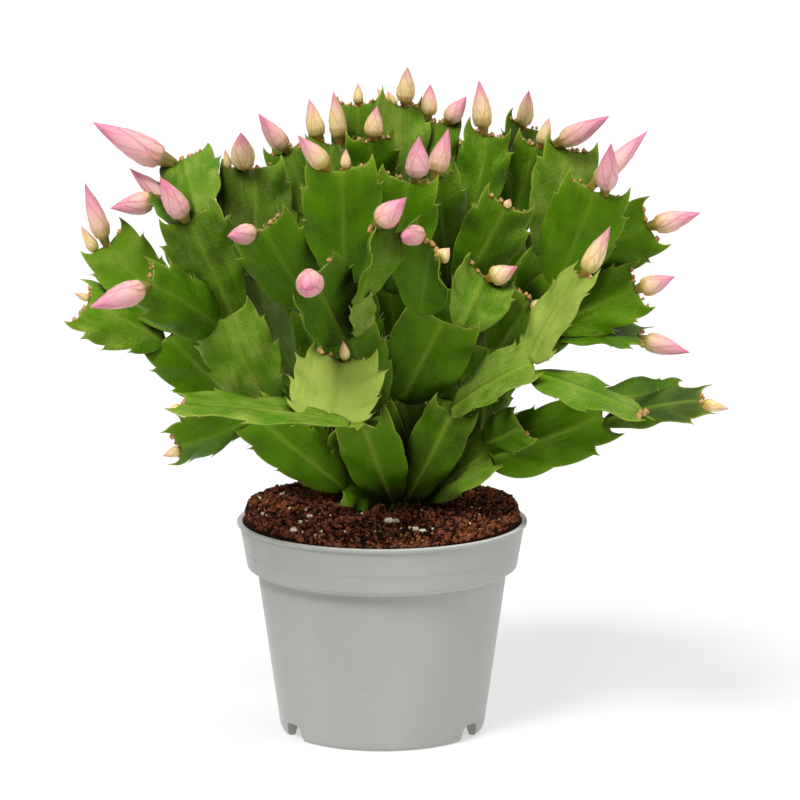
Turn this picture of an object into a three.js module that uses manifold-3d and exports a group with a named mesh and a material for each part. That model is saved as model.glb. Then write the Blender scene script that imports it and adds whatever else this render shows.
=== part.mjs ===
// A budded Christmas cactus in a grey nursery pot of soil.
// Millimetres, +Z up. The origin is on the pot's axis, at the surface that the pot stands on.
// The plant's front is towards -Y, with +X to its right as seen from there.
import * as THREE from 'three';
import { mergeVertices } from 'three/addons/utils/BufferGeometryUtils.js';
import Module from 'manifold-3d';

const wasm = await Module();
wasm.setup();

// Pot
const POT_HEIGHT = 88;
const LIP_RADIUS = 60;
const LIP_HEIGHT = 1.2;
const COLLAR_TOP_RADIUS = 58.8;
const COLLAR_FOOT_RADIUS = 55.9;
const COLLAR_HEIGHT = 19;
const COLLAR_STEP = 1.8;
const COLLAR_FOOT = POT_HEIGHT - COLLAR_HEIGHT;
const BODY_TOP = COLLAR_FOOT - COLLAR_STEP;
const BODY_TOP_RADIUS = 51.7;
const FOOT_RADIUS = 42.4;
const FOOT_ROUND = 2.4;
const WALL = 1.1;
const FLOOR = 1.3;
const CORNER_LIFT = 0.7;
const CHANNEL_INNER = 22;
const CHANNEL_OUTER = 38;
const CHANNEL_LIFT = 4;
const CHANNEL_SLOPE = 1;
const POT_SIDES = 36;
const NOTCH_ANGLES = [90, 212, 328];
const NOTCH_WIDTH = 18;
const NOTCH_HEIGHT = 6.5;
const NOTCH_TAPER = 2.5;
const NOTCH_SIDES = 4;
const DRAIN_COUNT = 6;
const DRAIN_RADIUS = 4;
const DRAIN_CUT = 6;
const DRAIN_SIDES = 8;
const DRAIN_RING = 30;
// How far a cut starts outside the face that it opens
const CUT_CLEAR = 0.01;

// Soil
const SOIL_GAP = 0.35;
const SOIL_LEVEL = 96.5;
const SOIL_CROWN_FALL = 2;
const SOIL_FRONT_FALL = 6.5;
const SOIL_FRONT_CURVE = 1.5;
const SOIL_RADIUS = 57.2;
const SOIL_EDGE_LEVEL = 88.2;
const SOIL_EDGE_START = 55;
const SOIL_RINGS = [SOIL_RADIUS, 56, 54.5, 47, 37, 25, 12, 0];
const SOIL_LUMP = 0.9;
// The waves of the lumps across and along the pot, in radians a millimetre
const FINE_WAVES = [0.9, 0.8];
const WIDE_WAVES = [0.37, 0.51];
const FINE_WAVE_START = 1.3;

// Stems: the woody neck that stands in the soil, and the flat pads that grow end to end
const NECK_RADIUS = 2;
const NECK_DEPTH = 8;
const NECK_RISE = 4;
const NECK_SIDES = 6;
const HOLE_RADIUS = 2.6;
const HOLE_DEPTH = 8.9;
const HOLE_SIDES = 8;
const RIB_HALF = 1.15;
const EDGE_HALF = 0.45;
const FOOT_EDGE_HALF = 0.9;
const SINK = 2.6;
const TOOTH_OUT = 2;
const TOOTH_ON = 2.2;
const HORN_ON = 4;
const HORN_OUT = 0.9;
const APEX_DIP = 0.04;
// How many margins longer a tooth is on an enlarged pad, so that its slopes clear too
const TOOTH_MARGIN = 3;

// How far along a pad each cross row lies, and its share of the pad's full half width
const PAD_ROWS = [
  [0, 0.22],
  [0.28, 0.78],
  [0.56, 1],
  [0.82, 0.97],
  [1, 0.78],
];
// Pads that are broad already near their foot
const BROAD_PADS = ['P10', 'P20', 'P23', 'P2'];
const BROAD_ROWS = [
  [0, 0.4],
  [0.16, 0.92],
  [0.46, 1],
  [0.8, 0.88],
  [1, 0.68],
];
// The slim pads inside the plant are plainer: fewer rows, and no teeth
const INNER_WIDTH = 20;
const INNER_ROWS = [
  [0, 0.24],
  [0.5, 1],
  [1, 0.78],
];
// The chance of a tooth on each stretch between rows; the last stretch has the horn, and the pads
// that grow from a neck have horns alone
const TOOTH_CHANCE = [0, 0.4, 0.85, 1];
const HORN_BAND = 3;
const APEX_SHARE = 0.78;

// How far along a bud each ring lies, and its share of the bud's belly radius
const BUD_ROWS = [
  [0, 0.36],
  [0.14, 0.55],
  [0.34, 1.04],
  [0.6, 0.92],
  [0.84, 0.44],
];
const BUD_SIDES = 6;
const BUD_SINK = 0.6;
const BUD_GAP = 0.35;
const SMALL_BUD_ROWS = [
  [0, 0.5],
  [0.6, 1],
];
const SMALL_BUD_SIDES = 5;
const SMALL_BUD_SINK = 2.2;
// Pads whose tips lie further than this from a bud's foot can't reach the bud
const BUD_REACH = 70;
// Below this sine of the angle between them, two directions count as parallel
const PARALLEL = 0.1;

// Each stem has the place of its neck in the soil, then its pads. A pad's columns are its name, the pad
// it grows from ('soil' for the neck), the side of that pad's tip it grows on (-1 left to 1 right), the
// place of its own tip (x, y, z), its width, the turn of its face away from the viewer (degrees), how far
// its back arches, how far its edges curl to the face, and its twist (degrees).
const STEMS = {
  stem_low_left: {
    neck: [-4, -9],
    pads: [
      ['O1', 'soil', 0, -17, -23, 106, 18, 32, 1, 0, 0],
      ['P9', 'O1', 0, -52, -44, 140.5, 21, 0, 2, 0, 0],
      ['P8', 'P9', 0, -82, -52, 128, 21, -40, 1, -2, 0],
    ],
  },
  stem_front: {
    neck: [4, -15],
    pads: [
      ['B1', 'soil', 0, -8, -42, 138, 24, -8, 2, 0, 0],
      ['B2', 'B1', 0, -19, -82, 143, 26, 85, 1, 0, 0],
      ['P10', 'B2', 0.3, -15, -54, 165, 34, -5, -2, 4, 0],
      ['P7', 'B2', -0.6, -79, -70, 149, 23, 66, 1, 0, 0],
    ],
  },
  stem_front_high: {
    neck: [6, -8],
    pads: [
      ['A1', 'soil', 0, -4, -30, 139, 20, 15, 1, 0, 0],
      ['A2', 'A1', 0, -13, -48, 174, 24, 0, 2, 0, 0],
      ['P11', 'A2', -0.3, -27, -78, 201, 28, 25, 0, 4, 0],
      ['P12', 'A2', 0.4, -10, -60, 189, 12, 40, 1, 2, 0],
      ['P13', 'P12', 0, -3, -70, 220, 24, 60, 2, 5, 25],
    ],
  },
  stem_left: {
    neck: [-9, -3],
    pads: [
      ['D1', 'soil', 0, -24, -12, 124, 22, 20, 1, 0, 0],
      ['D2', 'D1', 0, -48, -18, 137, 20, 20, 1, 0, 0],
      ['P5', 'D2', 0, -64, -22, 177, 28, 0, 2, -1, 0],
      ['P2', 'P5', -0.4, -93, -48, 194, 23, 12, 3, -4, 0],
      ['Q1', 'P5', 0.3, -78, -14, 216, 28, -5, 2, -2, 0],
      ['Q2', 'Q1', 0.3, -81, 12, 237, 25, -12, 1, -2, 0],
      ['Q9', 'Q1', -0.6, -89, 10, 219, 18, 60, 0, 0, 0],
    ],
  },
  stem_far_left: {
    neck: [-12, 10],
    pads: [
      ['E1', 'soil', 0, -32, 14, 120, 18, 20, 1, 0, 0],
      ['E2', 'E1', 0, -60, 6, 136, 18, 45, 1, 0, 0],
      ['P4', 'E2', 0, -88, -6, 167, 28, -10, 2, 0, 0],
      ['P3', 'P4', -0.4, -121, -10, 180, 24, 25, 2, -4, 0],
      ['P1', 'P4', 0.4, -113, 4, 203, 25, 8, 2, 0, 0],
    ],
  },
  stem_left_high: {
    neck: [-9, 7],
    pads: [
      ['F1', 'soil', 0, -17, 9, 125, 18, 50, 1, 0, 0],
      ['F2', 'F1', 0, -34, 0, 148, 18, 10, 1, 0, 0],
      ['P6', 'F2', 0, -51, -6, 192, 22, -42, 2, 2, 0],
      ['Q3', 'P6', 0, -53, 8, 234, 29, 5, 2, -2, 0],
    ],
  },
  stem_crown_left: {
    neck: [4, 11],
    pads: [
      ['G1', 'soil', 0, -6, -6, 148, 18, 0, 1, 0, 0],
      ['G2', 'G1', -0.5, -24, -9, 180, 19, 0, 1, 0, 0],
      ['Q4', 'G2', -0.4, -48, -34, 215, 28, -12, 3, -1, 0],
      ['G3', 'G1', 0.2, -15, -26, 191, 21, 0, 1, 0, 0],
      ['Q5', 'G3', 0, -16, -38, 239, 30, 4, 3, -2, 0],
      ['G5', 'G2', 0.4, -26, 12, 216, 18, 0, 0, 0, 0],
      ['T4', 'G5', 0.5, -21, 22, 242, 21, 10, 1, 0, 0],
      ['T14', 'G5', -0.5, -39, 27, 238, 21, 0, 1, 0, 0],
    ],
  },
  stem_centre: {
    neck: [12, -1],
    pads: [
      ['H1', 'soil', 0, 8, -18, 143, 18, 20, 1, 0, 0],
      ['P14', 'H1', 0, 25, -36, 178, 33, 5, 2, 1, 0],
      ['P15', 'P14', -0.7, 20, -56, 211, 26, -28, 0, 4, -60],
      ['P16', 'P14', 0.6, 42, -16, 192, 26, 18, 0, 4, 0],
    ],
  },
  stem_crown: {
    neck: [11, 14],
    pads: [
      ['J1', 'soil', 0, 6, 12, 138, 15, 0, 1, 0, 0],
      ['J2', 'J1', 0.2, 3, -4, 186, 21, -10, 1, 0, 0],
      ['Q6', 'J2', 0.1, 11, -16, 232, 27, -8, 2, 0, 0],
      ['J3', 'J2', -0.4, 6, 12, 220, 13, -25, 1, 0, 0],
      ['T1', 'J3', 0, 7, 27, 258, 25, 30, 1, 2, 15],
      ['J4', 'J2', 0.6, 16, 22, 218, 13, 30, 1, 0, 0],
      ['T5', 'J4', 0, 23, 34, 250, 21, -5, 1, 0, 0],
      ['J5', 'J1', -0.5, -4, 20, 182, 15, 60, 1, 0, 0],
      ['J6', 'J5', 0, -7, 14, 214, 15, 0, 0, 0, 0],
      ['T3', 'J6', 0.4, -5, 3, 246, 22, 8, 1, 0, 0],
      ['T2', 'J6', -0.4, -10, 36, 257, 21, -12, 1, 0, 0],
    ],
  },
  stem_crown_right: {
    neck: [22, 13],
    pads: [
      ['K1', 'soil', 0, 27, 15, 138, 16, 0, 1, 0, 0],
      ['K2', 'K1', -0.3, 27, 6, 186, 18, 0, 1, 0, 0],
      ['Q7', 'K2', 0, 21, 0, 231, 22, 12, 1, 0, 0],
      ['K3', 'K2', 0.5, 37, 22, 211, 16, -25, 1, 0, 0],
      ['T6', 'K3', 0, 44, 30, 245, 21, 18, 1, 0, 0],
      ['K4', 'K1', 0.5, 32, -6, 186, 20, 5, 1, 0, 0],
      ['Q8', 'K4', 0, 51, -12, 221, 24, 8, 2, 0, 0],
    ],
  },
  stem_front_right: {
    neck: [10, -14],
    pads: [
      ['B3', 'soil', 0, 29, -31, 140, 21, 5, 2, 0, 0],
      ['P21', 'B3', 0, 62, -44, 161, 24, -50, 2, 3, 0],
      ['P20', 'P21', -0.2, 80.5, -34, 195, 24, -55, 2, 0, 0],
      ['P22', 'P21', 0.6, 103, -62, 143, 24, -58, 1, 0, -40],
    ],
  },
  stem_low_right: {
    neck: [20, -3],
    pads: [
      ['B4', 'soil', 0, 41, -5, 122, 22, -25, 2, 0, 0],
      ['L1', 'B4', 0, 44, -12, 163, 20, 0, 1, 0, 0],
      ['P30', 'L1', 0.3, 61, -6, 181, 24, 0, 1, -3, 0],
    ],
  },
  stem_right_long: {
    neck: [18, -10],
    pads: [
      ['B5', 'soil', 0, 45, -25, 121, 21, -35, 2, 0, 0],
      ['P23', 'B5', 0.2, 91, -28, 137, 25, -4, 1, 0, 0],
      ['P24', 'B5', -0.7, 56.5, -38, 134.5, 18, 5, 1, -2, 0],
      ['P25', 'P23', 0.3, 130, -32, 143, 21, -52, 2, 0, 0],
      ['P26', 'P23', -0.6, 124, -6, 140, 21, -48, 1, 0, 0],
    ],
  },
  stem_right: {
    neck: [29, 5],
    pads: [
      ['M1', 'soil', 0, 38, 9, 126, 18, 50, 1, 0, 0],
      ['M2', 'M1', 0, 52, 18, 157, 20, 0, 1, 0, 0],
      ['M3', 'M2', 0.8, 73, 6, 166, 14, 0, 0, 0, 0],
      ['T12', 'M3', -0.6, 105.5, 4, 184, 24, -10, 1, 0, 0],
      ['T13', 'M3', 0.6, 107, 6, 163, 22, -62, 2, 0, 0],
      ['M4', 'M2', 0.1, 72, -2, 186, 18, 0, 1, 0, 0],
      ['T10', 'M4', 0, 87, -10, 227, 30, 4, 2, 0, 0],
      ['M6', 'M2', -0.7, 70, 16, 196, 18, 0, 1, 0, 0],
      ['T11', 'M6', 0.6, 111, 16, 208.5, 26, 8, 2, 0, 0],
      ['T9', 'M6', -0.4, 78, 22, 240, 25, 15, 2, 0, 0],
    ],
  },
  stem_right_high: {
    neck: [30, 18],
    pads: [
      ['N1', 'soil', 0, 37, 28, 126, 18, 60, 1, 0, 0],
      ['N2', 'N1', 0, 46, 36, 164, 19, 30, 1, 0, 0],
      ['N3', 'N2', 0.5, 52, 37, 201, 16, 0, 1, 0, 0],
      ['T8', 'N3', 0, 65, 39, 240, 21, 8, 1, 0, 0],
      ['N4', 'N2', -0.5, 46, 44, 211, 16, 0, 1, 0, 0],
      ['T7', 'N4', 0, 59.5, 50, 246.5, 22, 38, 1, 0, 0],
    ],
  },
  stem_back_left_low: {
    neck: [-12, 20],
    pads: [
      ['R1', 'soil', 0, -32, 42, 119, 22, -30, 1, 0, 0],
      ['R2', 'R1', 0, -57, 62, 140, 24, -25, 2, 0, 0],
      ['R3', 'R2', -0.5, -82, 66, 166, 26, -20, 2, 0, 0],
      ['R4', 'R2', 0.5, -56, 86, 176, 27, -10, 2, 0, 0],
    ],
  },
  stem_back_left: {
    neck: [-2, 22],
    pads: [
      ['S1', 'soil', 0, -18, 42, 132, 22, -15, 1, 0, 0],
      ['S2', 'S1', 0, -36, 54, 170, 24, -10, 2, 0, 0],
      ['S3', 'S2', -0.5, -66, 46, 203, 26, -20, 2, 0, 0],
      ['S4', 'S2', 0.5, -30, 70, 210, 27, 0, 2, 0, 0],
      ['S5', 'S4', 0, -36, 56, 238, 24, 10, 1, 0, 0],
    ],
  },
  stem_back: {
    neck: [8, 25],
    pads: [
      ['U1', 'soil', 0, 6, 48, 130, 22, 0, 1, 0, 0],
      ['U2', 'U1', -0.3, 6, 76, 164, 24, 0, 2, 0, 0],
      ['U3', 'U2', -0.5, -9, 92, 200, 26, -10, 2, 0, 0],
      ['U4', 'U2', 0.5, 27, 88, 200, 26, 15, 2, 0, 0],
      ['U5', 'U1', 0.4, 6, 52, 178, 22, 55, 1, 0, 0],
      ['U6', 'U5', 0, 0, 56, 220, 24, 0, 1, 0, 0],
    ],
  },
  stem_back_right: {
    neck: [18, 24],
    pads: [
      ['V1', 'soil', 0, 30, 46, 128, 22, 20, 1, 0, 0],
      ['V2', 'V1', 0, 48, 60, 166, 24, 15, 2, 0, 0],
      ['V3', 'V2', 0.5, 72, 54, 196, 25, 25, 2, 0, 0],
      ['V4', 'V2', -0.5, 40, 76, 206, 27, 10, 2, 0, 0],
      ['V5', 'V4', 0, 42, 62, 236, 24, 0, 1, 0, 0],
    ],
  },
  stem_back_low: {
    neck: [22, 33],
    pads: [
      ['W1', 'soil', 0, 32, 62, 114, 22, 10, 1, 0, 0],
      ['W2', 'W1', 0, 36, 90, 134, 24, 5, 2, 0, 0],
      ['W3', 'W2', 0.5, 55, 98, 162, 25, 10, 2, 0, 0],
      ['W4', 'W2', -0.5, 14, 106, 152, 26, -15, 2, 0, 0],
    ],
  },
};

// Large buds: the pad each grows on, the side of its tip (-1 to 1), the bud's point (x, y, z) and the
// radius of its belly
const BUDS = {
  bud_01: ['Q2', -0.5, -118, 6, 252, 5.9],
  bud_02: ['Q9', -0.5, -111, 2, 217, 4.6],
  bud_03: ['Q9', 0.8, -104, 16, 232, 3.8],
  bud_04: ['Q1', -0.15, -89, -22, 233, 4.7],
  bud_05: ['P1', -0.1, -121, 0, 228, 3.8],
  bud_06: ['Q4', -0.3, -61, -46, 212, 4.1],
  bud_07: ['Q3', -0.3, -57, -6, 249, 4.9],
  bud_08: ['T14', 0, -51, 22, 254, 4],
  bud_09: ['P2', -0.05, -114, -68, 187, 5],
  bud_10: ['T4', -0.6, -30, 22, 260, 3.7],
  bud_11: ['T4', 0.5, -20, 22, 263, 3.6],
  bud_12: ['Q5', -0.4, -33, -44, 252, 4],
  bud_13: ['T1', 0.3, 10.5, 24, 273, 3.8],
  bud_14: ['T3', 0.1, -2, 2, 259, 3.8],
  bud_15: ['T5', -0.5, 20, 34, 265, 3.6],
  bud_16: ['T5', 0.4, 35, 31, 260, 3.8],
  bud_17: ['T6', -0.2, 40, 30, 267, 4],
  bud_18: ['Q6', 0.3, 15, -20, 249, 4.8],
  bud_19: ['Q7', 0, 27, 0, 250, 4.2],
  bud_20: ['P13', 0.2, 10, -74, 231, 4.8],
  bud_21: ['P15', -0.75, 8, -80, 216, 4],
  bud_22: ['P11', 0, -29, -106, 200, 5.2],
  bud_23: ['P16', 0.1, 55, -18, 196, 4],
  bud_24: ['T7', 0, 61, 38, 262, 3.5],
  bud_25: ['T9', -0.75, 93, 10, 254, 4.3],
  bud_26: ['T10', -0.25, 109, 12, 248, 4],
  bud_27: ['T10', 0.35, 92, -22, 246.5, 4.3],
  bud_28: ['T11', 0, 131, 12, 214, 4.3],
  bud_29: ['P20', 0.1, 91, -38, 215, 4],
  bud_30: ['T12', 0, 120, 2, 189, 4.1],
  bud_31: ['T13', 0, 127, 4, 157, 4],
};

// Small buds and bud beads that grow in one piece with their stem, in the same columns
const SMALL_BUDS = [
  ['P1', -0.6, -123, 2, 210, 2.4],
  ['Q3', -0.85, -64, 6, 241, 1.6],
  ['Q5', 0.15, -14, -38, 246, 2],
  ['T2', 0, -10, 37, 265, 2.1],
  ['T1', -0.6, -2, 24, 264, 1.8],
  ['T1', -0.1, 2, 24, 263, 1.5],
  ['P15', 0.8, 27, -58, 209, 3],
  ['T8', 0.2, 69.5, 39, 250.5, 2.9],
  ['P26', 0, 131, -6, 142, 2.6],
  ['P25', 0, 140, -32, 140, 2.5],
  ['P7', -0.4, -84, -72, 147, 2],
  ['P8', -0.2, -87, -54, 125, 2.1],
  ['P10', 0.1, -15, -58, 172, 2],
  ['P30', 0.3, 65, -18, 181, 2.6],
  ['Q8', 0, 52, -14, 223, 1.7],
  ['P3', 0.3, -125, -11, 184, 1.6],
  ['R4', 0.2, -60, 98, 188, 3.2],
  ['S3', 0, -74, 53, 217, 3.2],
  ['U3', -0.2, -14, 104, 212, 3.4],
  ['V3', 0.2, 80, 62, 208, 3.2],
  ['V4', -0.2, 38, 88, 219, 3.4],
];

const PAD_GREEN = { color: 0x4b7a1e, roughness: 0.45, metalness: 0 };
const BUD_PINK = { color: 0xf2b7c2, roughness: 0.5, metalness: 0 };
const POT_GREY = { color: 0xaeb1aa, roughness: 0.5, metalness: 0 };
const SOIL_BROWN = { color: 0x3a2018, roughness: 1, metalness: 0 };

// Pads without a turn face the front and a little up
const FACE_TILT = THREE.MathUtils.degToRad(10);
const FACING = new THREE.Vector3(0, -Math.cos(FACE_TILT), Math.sin(FACE_TILT));

const MERGE_DISTANCE = 1e-4;
// The points of one cross row of a pad: left, rib and right of its face, then of its back
const ROW_POINTS = 6;

// A small generator of repeatable numbers between 0 and 1
const STATES = 2 ** 32;
const SEED_SPREAD = 2654435761;
const STATE_FACTOR = 1664525;
const STATE_STEP = 1013904223;

function seeded(seed) {
  let state = (seed * SEED_SPREAD) % STATES;
  return () => {
    state = (state * STATE_FACTOR + STATE_STEP) % STATES;
    return state / STATES;
  };
}

function toSolid(geometry) {
  geometry.deleteAttribute('normal');
  geometry.deleteAttribute('uv');
  const merged = mergeVertices(geometry, MERGE_DISTANCE);
  return new wasm.Manifold(new wasm.Mesh({
    numProp: 3,
    vertProperties: new Float32Array(merged.attributes.position.array),
    triVerts: new Uint32Array(merged.index.array),
  }));
}

function solidFrom(points, faces) {
  return new wasm.Manifold(new wasm.Mesh({
    numProp: 3,
    vertProperties: new Float32Array(points.flatMap((point) => point.toArray())),
    triVerts: new Uint32Array(faces.flat()),
  }));
}

function largestBody(solid) {
  return solid.decompose().reduce((most, body) => (body.volume() > most.volume() ? body : most));
}

function toGeometry(solid) {
  const mesh = solid.getMesh();
  const geometry = new THREE.BufferGeometry();
  geometry.setAttribute('position', new THREE.BufferAttribute(mesh.vertProperties, 3));
  geometry.setIndex(new THREE.BufferAttribute(mesh.triVerts, 1));
  return geometry;
}

function soilHeight(x, y) {
  const reach = Math.hypot(x, y) / SOIL_RADIUS;
  const front = Math.max(0, -y / SOIL_RADIUS);
  const edge = THREE.MathUtils.smoothstep(Math.hypot(x, y), SOIL_EDGE_START, SOIL_RADIUS);
  const mound = SOIL_LEVEL - SOIL_CROWN_FALL * reach ** 2 - SOIL_FRONT_FALL * front ** SOIL_FRONT_CURVE;
  return THREE.MathUtils.lerp(mound, SOIL_EDGE_LEVEL, edge);
}

// The face, edge and length directions of a pad at a share of its length
function padFrame(pad, share) {
  const axis = pad.tip.clone().sub(pad.base).normalize();
  const face = FACING.clone().addScaledVector(axis, -FACING.dot(axis)).normalize();
  face.applyAxisAngle(axis, THREE.MathUtils.degToRad(pad.turn + pad.twist * (share - 0.5)));
  const side = axis.clone().cross(face);
  return { axis, face, side };
}

// A point of a pad: share along it, distance to the side of its rib, height off its middle surface
function padPoint(pad, share, across, height) {
  const { face, side } = padFrame(pad, share);
  const reach = across / (pad.width / 2);
  const lift = pad.arch * 4 * share * (1 - share) + pad.cup * reach ** 2;
  const along = pad.base.clone().lerp(pad.tip, share);
  return along.addScaledVector(side, across).addScaledVector(face, lift + height);
}

// Where something can grow on a pad's tip, from its left corner (-1) to its right one (1)
function apexPoint(pad, sideShare) {
  return padPoint(pad, 1, sideShare * APEX_SHARE * pad.width / 2, 0);
}

// A pad's closed form; with a margin it is that much larger all round, to cut clear of the pad
function padSolid(pad, margin = 0) {
  const isInner = pad.width <= INNER_WIDTH;
  const rows = isInner ? INNER_ROWS : (pad.isBroad ? BROAD_ROWS : PAD_ROWS);
  const random = seeded(pad.seed);
  const half = pad.width / 2;
  const length = pad.tip.distanceTo(pad.base);
  const points = [];
  const faces = [];
  rows.forEach(([rowShare, widthShare], row) => {
    const edge = (row === 0 ? FOOT_EDGE_HALF : EDGE_HALF) + margin;
    const rib = RIB_HALF + margin;
    const isTop = row === rows.length - 1;
    const share = rowShare + (isTop ? margin / length : 0);
    const middle = isTop ? share - APEX_DIP : share;
    const across = widthShare * half + margin;
    points.push(
      padPoint(pad, share, -across, edge),
      padPoint(pad, middle, 0, rib),
      padPoint(pad, share, across, edge),
      padPoint(pad, share, across, -edge),
      padPoint(pad, middle, 0, -rib),
      padPoint(pad, share, -across, -edge),
    );
  });
  const tooth = (band, direction) => {
    const [, shareBelow] = rows[band];
    const [start, shareAbove] = rows[band + 1];
    const isHorn = band === HORN_BAND;
    const out = isHorn ? shareAbove * half + HORN_OUT : Math.max(shareBelow, shareAbove) * half + TOOTH_OUT;
    const on = isHorn ? HORN_ON : TOOTH_ON;
    const more = TOOTH_MARGIN * margin;
    points.push(padPoint(pad, start + (on + more) / length, direction * (out + more), 0));
    return points.length - 1;
  };
  for (let band = 0; band < rows.length - 1; band += 1) {
    const a = band * ROW_POINTS;
    const b = a + ROW_POINTS;
    faces.push(
      [a, a + 1, b + 1], [a, b + 1, b],
      [a + 1, a + 2, b + 1], [a + 2, b + 2, b + 1],
      [a + 5, b + 4, a + 4], [a + 5, b + 5, b + 4],
      [a + 4, b + 4, a + 3], [a + 3, b + 4, b + 3],
    );
    const isPlain = isInner || (pad.isBasal && band < HORN_BAND);
    const chance = isPlain ? 0 : TOOTH_CHANCE[band];
    if (random() < chance) {
      const tip = tooth(band, 1);
      faces.push([a + 2, a + 3, tip], [a + 3, b + 3, tip], [b + 3, b + 2, tip], [b + 2, a + 2, tip]);
    } else {
      faces.push([a + 2, a + 3, b + 3], [a + 2, b + 3, b + 2]);
    }
    if (random() < chance) {
      const tip = tooth(band, -1);
      faces.push([a + 5, a, tip], [a, b, tip], [b, b + 5, tip], [b + 5, a + 5, tip]);
    } else {
      faces.push([a + 5, a, b], [a + 5, b, b + 5]);
    }
  }
  const top = (rows.length - 1) * ROW_POINTS;
  faces.push(
    [0, 5, 4], [0, 4, 1], [1, 4, 3], [1, 3, 2],
    [top, top + 1, top + 4], [top, top + 4, top + 5],
    [top + 1, top + 2, top + 3], [top + 1, top + 3, top + 4],
  );
  return solidFrom(points, faces);
}

// A closed spindle round a straight line, from rows of share along it and radius
function spindle(foot, tip, rows, sides) {
  const axis = tip.clone().sub(foot).normalize();
  const across = new THREE.Vector3(1, 0, 0).cross(axis);
  if (across.length() < PARALLEL) across.set(0, 1, 0).cross(axis);
  across.normalize();
  const up = axis.clone().cross(across);
  const points = [];
  const faces = [];
  rows.forEach(([share, radius], row) => {
    for (let i = 0; i < sides; i += 1) {
      const angle = (i / sides) * 2 * Math.PI;
      points.push(foot.clone().lerp(tip, share)
        .addScaledVector(across, radius * Math.cos(angle))
        .addScaledVector(up, radius * Math.sin(angle)));
      if (row === 0) continue;
      const below = (row - 1) * sides;
      const above = row * sides;
      const next = (i + 1) % sides;
      faces.push([below + i, below + next, above + next], [below + i, above + next, above + i]);
    }
  });
  const top = (rows.length - 1) * sides;
  for (let i = 1; i < sides - 1; i += 1) faces.push([0, i + 1, i]);
  points.push(tip.clone());
  for (let i = 0; i < sides; i += 1) faces.push([top + i, top + ((i + 1) % sides), points.length - 1]);
  return solidFrom(points, faces);
}

function budSolid(pad, sideShare, tip, radius) {
  const foot = apexPoint(pad, sideShare).addScaledVector(padFrame(pad, 1).axis, -BUD_SINK);
  const whole = spindle(foot, tip, BUD_ROWS.map(([share, size]) => [share, size * radius]), BUD_SIDES);
  const near = Object.values(pads).filter((other) => other.tip.distanceTo(foot) < BUD_REACH);
  return largestBody(near.reduce((bud, other) => bud.subtract(padSolid(other, BUD_GAP)), whole));
}

function smallBudSolid(pad, sideShare, tip, radius) {
  const foot = apexPoint(pad, sideShare).addScaledVector(padFrame(pad, 1).axis, -SMALL_BUD_SINK);
  return spindle(foot, tip, SMALL_BUD_ROWS.map(([share, size]) => [share, size * radius]), SMALL_BUD_SIDES);
}

// The pads of all stems by name, each with its foot worked out from the tip that it grows on
function layOutPads() {
  const pads = {};
  for (const [stem, { neck, pads: rows }] of Object.entries(STEMS)) {
    const [x, y] = neck;
    for (const [name, parent, sideShare, tx, ty, tz, width, turn, arch, cup, twist] of rows) {
      const tip = new THREE.Vector3(tx, ty, tz);
      let base = new THREE.Vector3(x, y, soilHeight(x, y) + NECK_RISE - SINK / 2);
      if (parent !== 'soil') {
        base = apexPoint(pads[parent], sideShare).addScaledVector(padFrame(pads[parent], 1).axis, -SINK);
      }
      const seed = Object.keys(pads).length + 1;
      const isBroad = BROAD_PADS.includes(name);
      const isBasal = parent === 'soil';
      pads[name] = { stem, seed, base, tip, width, turn, arch, cup, twist, isBroad, isBasal };
    }
  }
  return pads;
}

const pads = layOutPads();

function neckSolid(x, y) {
  const level = soilHeight(x, y);
  const geometry = new THREE.CylinderGeometry(NECK_RADIUS, NECK_RADIUS, NECK_DEPTH + NECK_RISE, NECK_SIDES);
  geometry.rotateX(Math.PI / 2);
  geometry.translate(x, y, level + (NECK_RISE - NECK_DEPTH) / 2);
  return toSolid(geometry);
}

function stemSolid(stem) {
  const own = Object.values(pads).filter((pad) => pad.stem === stem);
  const [x, y] = STEMS[stem].neck;
  let solid = neckSolid(x, y);
  for (const pad of own) solid = solid.add(padSolid(pad));
  for (const [name, sideShare, tx, ty, tz, radius] of SMALL_BUDS) {
    if (pads[name] && pads[name].stem === stem) {
      solid = solid.add(smallBudSolid(pads[name], sideShare, new THREE.Vector3(tx, ty, tz), radius));
    }
  }
  return solid;
}

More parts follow.
